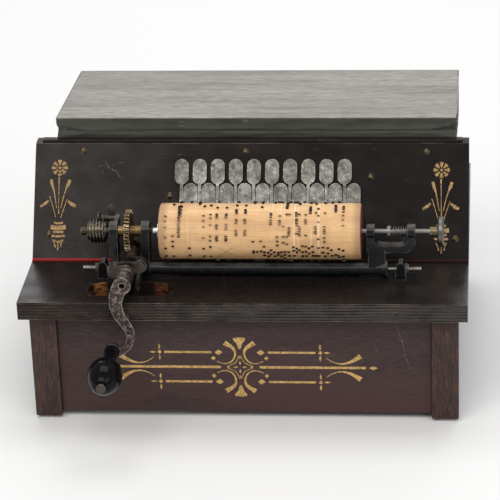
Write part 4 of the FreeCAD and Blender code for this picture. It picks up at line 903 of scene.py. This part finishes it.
# The roller's pins: for each place along it, the angle of the first pin and how many follow
PIN_TRACKS = [
    (-61.0, [(-37, 1), (-13, 1), (10, 1), (32, 1), (44, 1), (54, 1)]),
    (-55.0, [(-37, 1), (-8, 1), (3, 1), (14, 1), (90, 1)]), (-50.2, [(13, 17)]),
    (-49.0, [(55, 1), (62, 1), (71, 1), (81, 1)]), (-42.0, [(-34, 1), (-12, 1), (115, 1)]),
    (-34.6, [(94, 1)]), (-30.6, [(-37, 1), (-14, 1), (10, 1), (32, 1), (44, 1), (55, 1), (82, 1)]),
    (-25.3, [(-38, 1), (-9, 1), (4, 1), (13, 1), (36, 1), (50, 1), (58, 1), (86, 1)]),
    (-20.1, [(5, 3), (28, 3), (51, 3), (78, 1)]), (-12.6, [(5, 3), (28, 3), (51, 3), (78, 1)]),
    (-4.6, [(16, 3), (39, 3), (62, 3), (86, 1)]), (2.4, [(16, 3), (39, 3), (62, 3), (86, 1)]),
    (8.8, [(-23, 1), (-20, 1), (3, 1)]), (11.8, [(-21, 1)]), (14.8, [(-19, 1), (3, 1)]),
    (15.3, [(79, 1), (100, 1)]), (17.3, [(-34, 1), (-23, 1), (-9, 1)]), (20.3, [(-36, 1), (-23, 1)]),
    (22.8, [(-29, 1), (-17, 1), (37, 3), (52, 3)]), (25.3, [(-36, 1), (-23, 1)]),
    (27.8, [(-6, 1), (4, 1), (13, 1)]), (28.3, [(-31, 1), (-23, 1)]), (29.8, [(37, 3), (55, 1)]),
    (30.8, [(-35, 1), (-22, 1)]), (32.8, [(1, 1), (13, 1), (34, 1)]), (33.8, [(-31, 1), (-21, 1)]),
    (35.3, [(-3, 1), (12, 1), (59, 1), (77, 3), (89, 3)]), (36.8, [(-35, 1), (-22, 1)]), (37.3, [(15, 5)]),
    (37.8, [(59, 1)]), (40.8, [(-33, 1), (-18, 1), (-9, 1)]), (42.8, [(40, 3), (55, 3)]),
    (43.3, [(-22, 1), (-12, 1), (20, 1), (36, 4)]), (45.3, [(-17, 1), (15, 5), (59, 1), (94, 1)]),
    (47.8, [(-35, 1), (-22, 1), (-7, 1)]), (50.3, [(-35, 1), (-20, 1), (-8, 1), (16, 1), (39, 3), (58, 1)]),
    (52.8, [(-26, 1), (-11, 1)]), (53.8, [(62, 3), (72, 3)]), (55.8, [(-34, 1), (-22, 1), (-8, 1)]),
    (58.2, [(-34, 1), (20, 4), (64, 1), (95, 1)]),
    (60.2, [(-34, 1), (-11, 1), (9, 1), (42, 1), (56, 1), (75, 1)]), (63.7, [(-23, 1), (-10, 1)]),
    (65.2, [(-36, 1), (2, 1), (11, 1), (20, 4), (63, 1), (100, 1)]), (67.7, [(-25, 1), (-11, 1)]),
    (70.7, [(-34, 1), (-16, 1)]), (73.7, [(-29, 1), (67, 3), (77, 3)]), (75.7, [(-33, 1), (115, 1)]),
    (76.7, [(-39, 1), (-14, 1)]),
    (79.7, [(-36, 1), (-17, 1), (35, 1), (47, 1), (57, 1), (66, 1), (74, 1), (82, 1)]),
]
PIN_STEP = radians(4.2)
PIN_WIDTH, PIN_THICK, PIN_HEIGHT = 0.0024, 0.00055, 0.0018


def roller_pins(shader):
    """Flat steel pins in phrases; the side that the photo hides gets phrases of the same kind."""
    _, axis, radius = roller()
    points, faces = [], []
    for x, runs in PIN_TRACKS:
        hidden = [(random.uniform(100, 300), random.choice((1, 1, 1, 2, 3, 3, 5)))
                  for _ in range(random.randint(2, 5))]
        for first, count in runs + hidden:
            for i in range(count):
                angle = radians(first) + i * PIN_STEP + random.uniform(-0.008, 0.008)
                outward = outwards(angle)
                around = Vector((0.0, sin(angle), cos(angle)))
                lean = around * random.uniform(-0.12, 0.12) + RIGHT * random.uniform(-0.22, 0.10)
                top = PIN_HEIGHT * random.uniform(0.8, 1.0)
                foot = Vector((x * MM, 0.0, 0.0)) + axis + outward * (radius - PIN_ROOT)
                tip = foot + (outward + lean) * (top + PIN_ROOT)
                add_pin(points, faces, foot, tip, RIGHT * PIN_WIDTH / 2, around * PIN_THICK / 2)
    pins = piece("roller_pins", points, faces, shader, None, smooth=False)
    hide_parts("cob_pins")
    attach(pins, "cob")
    return pins


def add_pin(points, faces, foot, tip, side, thick):
    k = len(points)
    for end, share in ((foot, 1.0), (tip, 0.8)):
        points += [end - side * share - thick, end + side * share - thick,
                   end + side * share + thick, end - side * share + thick]
    faces += [(k + 3, k + 2, k + 1, k), (k + 4, k + 5, k + 6, k + 7), (k, k + 1, k + 5, k + 4),
              (k + 1, k + 2, k + 6, k + 5), (k + 2, k + 3, k + 7, k + 6), (k + 3, k, k + 4, k + 7)]


# Bellows cloth
def rounded_loop(low, high, radius, spacing):
    """Points round a rectangle with rounded corners, and each one's distance from the nearest corner."""
    spots = []
    corners = [(high.x - radius, low.y + radius, -90), (high.x - radius, high.y - radius, 0),
               (low.x + radius, high.y - radius, 90), (low.x + radius, low.y + radius, 180)]
    for k, (cx, cy, start) in enumerate(corners):
        for i in range(7):
            angle = radians(start + 15 * i)
            outward = Vector((cos(angle), sin(angle)))
            spots.append((Vector((cx, cy)) + outward * radius, outward, 0.0))
        nx, ny, _ = corners[(k + 1) % 4]
        begin = Vector((cx, cy)) + outward * radius
        end = Vector((nx, ny)) + outward * radius
        length = (end - begin).length
        count = int(length / spacing)
        for i in range(1, count):
            gap = length * i / count
            spots.append((begin.lerp(end, i / count), outward, min(gap, length - gap)))
    return spots


def wedge_cloth(name, low, high, floor_at, roof_at, fold, shader, rows=14, flat_top=0.0):
    """Cloth round a wedge: a crease along the middle that opens into a triangular gusset at each corner.

    The uppermost flat_top of it is stretched flat over the edge of the board that it is glued to.
    """
    loop = rounded_loop(low, high, CLOTH_CORNER, CLOTH_SPACING)
    points, faces = [], []
    top_rows = 3 if flat_top else 0
    for base, outward, from_corner in loop:
        spread = max(0.16, 1.0 - from_corner / CREASE_REACH)
        depth = fold * (0.30 + 0.70 * max(0.0, 1.0 - from_corner / FOLD_REACH))
        bottom = floor_at(base)
        top = roof_at(base)
        under = top - flat_top
        room = min(1.0, max(0.0, under - bottom) / 0.008)
        for row in range(rows + 1):
            t = row / rows
            crease = max(0.0, 1.0 - abs(2 * t - 1) / spread)
            ripple = noise.noise(Vector((base.x * 60, base.y * 60, t * 3 + SEED))) * RIPPLE
            ripple += noise.noise(Vector((base.x * 18, base.y * 18, t * 7 + SEED))) * RIPPLE
            ripple *= sin(pi * t)
            inward = room * (depth * crease - 0.0008 * sin(pi * t)) - room * ripple
            spot = base - outward * inward
            points.append(Vector((spot.x, spot.y, bottom + (under - bottom) * t)))
        for row in range(1, top_rows + 1):
            t = row / top_rows
            wave = 0.00012 * (1 + noise.noise(Vector((base.x * 40, base.y * 40, t * 2))))
            spot = base + outward * wave * (1 - t)
            points.append(Vector((spot.x, spot.y, under + flat_top * t)))
    count = len(loop)
    step = rows + top_rows + 1
    for i in range(count):
        j = (i + 1) % count
        for row in range(step - 1):
            a, b = i * step + row, j * step + row
            faces.append((a, b, b + 1, a + 1))
    return piece(name, points, faces, shader, None)


def reservoir_bellows(shader):
    """The cloth between the chest and the sloping top board, glued over the board's edges."""
    low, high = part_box("reservoir_board")
    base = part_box("chest_top")[1].z
    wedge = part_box("reservoir_cloth")
    slope = (wedge[1].z - base - CLOTH_SEAT) / (high.y - low.y)
    edge = BOARD_EDGE / cos(atan(slope))

    def roof(spot):
        return base + CLOTH_SEAT + slope * (high.y - spot.y) + edge - CLOTH_DROP

    inner_low = Vector((low.x - CLOTH_OUTSET, low.y - CLOTH_OUTSET, 0))
    inner_high = Vector((high.x + CLOTH_OUTSET, high.y + CLOTH_OUTSET, 0))
    cloth = wedge_cloth("reservoir_bellows", inner_low, inner_high, lambda spot: base + CLOTH_FOOT, roof,
                        RESERVOIR_FOLD, shader, flat_top=edge)
    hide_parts("reservoir_cloth")
    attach(cloth, "case")
    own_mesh(cloth)
    return cloth


def feeder_bellows(name, node, sign, shader):
    """The cloth between the fixed board in the base and one feeder board."""
    low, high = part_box(node)
    face = low.z if sign > 0 else high.z
    rise = (high.z - low.z) / (high.x - low.x)

    def far(spot):
        return face + sign * (FEEDER_GAP + rise * (high.x - spot.x))

    def near(spot):
        return face + sign * CLOTH_FOOT

    ends = (near, far) if sign > 0 else (far, near)
    inner_low = Vector((low.x + CLOTH_INSET, low.y + CLOTH_INSET, 0))
    inner_high = Vector((high.x - 0.001, high.y - CLOTH_INSET, 0))
    cloth = wedge_cloth(name, inner_low, inner_high, ends[0], ends[1], FEEDER_FOLD, shader, rows=8)
    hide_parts(node)
    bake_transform(cloth)
    return cloth


# Surroundings
def stage():
    s = Shader("ground_paper", base=(0.80, 0.80, 0.80), roughness=0.9, specular=0.0)
    radius = 6.0
    points = [Vector((-radius, -radius, 0)), Vector((radius, -radius, 0)),
              Vector((radius, radius, 0)), Vector((-radius, radius, 0))]
    floor = piece("ground", points, [(0, 1, 2, 3)], s, None, smooth=False)
    world = bpy.data.worlds.new("studio")
    bpy.context.scene.world = world
    world.use_nodes = True
    world.node_tree.nodes["Background"].inputs["Color"].default_value = (1.0, 1.0, 1.0, 1.0)
    world.node_tree.nodes["Background"].inputs["Strength"].default_value = 0.44


def area_light(name, place, target, size, power, tone=(1.0, 1.0, 1.0)):
    data = bpy.data.lights.new(name, "AREA")
    data.shape = "RECTANGLE"
    data.size, data.size_y = size
    data.energy = power
    data.color = tone
    light = bpy.data.objects.new(name, data)
    light.location = place
    light.rotation_euler = (Vector(target) - Vector(place)).to_track_quat("-Z", "Y").to_euler()
    bpy.context.scene.collection.objects.link(light)


def lights():
    middle = (0.0, 0.0, 0.1)
    area_light("key_light", (-0.35, -1.45, 1.85), middle, (2.0, 1.2), 28.0, (1.0, 0.98, 0.95))
    area_light("fill_light", (1.5, -1.3, 1.4), middle, (1.6, 1.2), 13.0, (0.97, 0.98, 1.0))
    area_light("top_light", (0.0, 0.5, 2.2), middle, (1.8, 1.0), 16.0)
    area_light("back_light", (0.0, 2.1, 1.25), middle, (2.2, 0.8), 17.0)


def camera():
    forward = Vector((sin(CAMERA_YAW) * cos(CAMERA_PITCH),
                      cos(CAMERA_YAW) * cos(CAMERA_PITCH), -sin(CAMERA_PITCH)))
    right = Vector((cos(CAMERA_YAW), -sin(CAMERA_YAW), 0.0))
    up = right.cross(forward)
    turned_right = right * cos(CAMERA_ROLL) + up * sin(CAMERA_ROLL)
    turned_up = up * cos(CAMERA_ROLL) - right * sin(CAMERA_ROLL)
    data = bpy.data.cameras.new("camera")
    data.lens = CAMERA_LENS
    data.sensor_width = 36.0
    data.clip_end = 50.0
    viewer = bpy.data.objects.new("camera", data)
    matrix = Matrix.Identity(4)
    for i in range(3):
        matrix[i] = (turned_right[i], turned_up[i], -forward[i], CAMERA_PLACE[i])
    viewer.matrix_world = matrix
    bpy.context.scene.collection.objects.link(viewer)
    bpy.context.scene.camera = viewer


random.seed(SEED)
FINISHES = finishes()
for node_name, finish in FINISHES.items():
    dress(node_name, finish)
ornaments()
scratches()
roller_cross()
roller_pins(FINISHES["cob_pins"])
reservoir_bellows(FINISHES["reservoir_cloth"])
feeder_bellows("feeder_upper_bellows", "feeder_upper_cloth", 1,
               FINISHES["feeder_upper_cloth"])
feeder_bellows("feeder_lower_bellows", "feeder_lower_cloth", -1,
               FINISHES["feeder_lower_cloth"])
stage()
lights()
camera()
bpy.context.scene.view_settings.view_transform = "Standard"
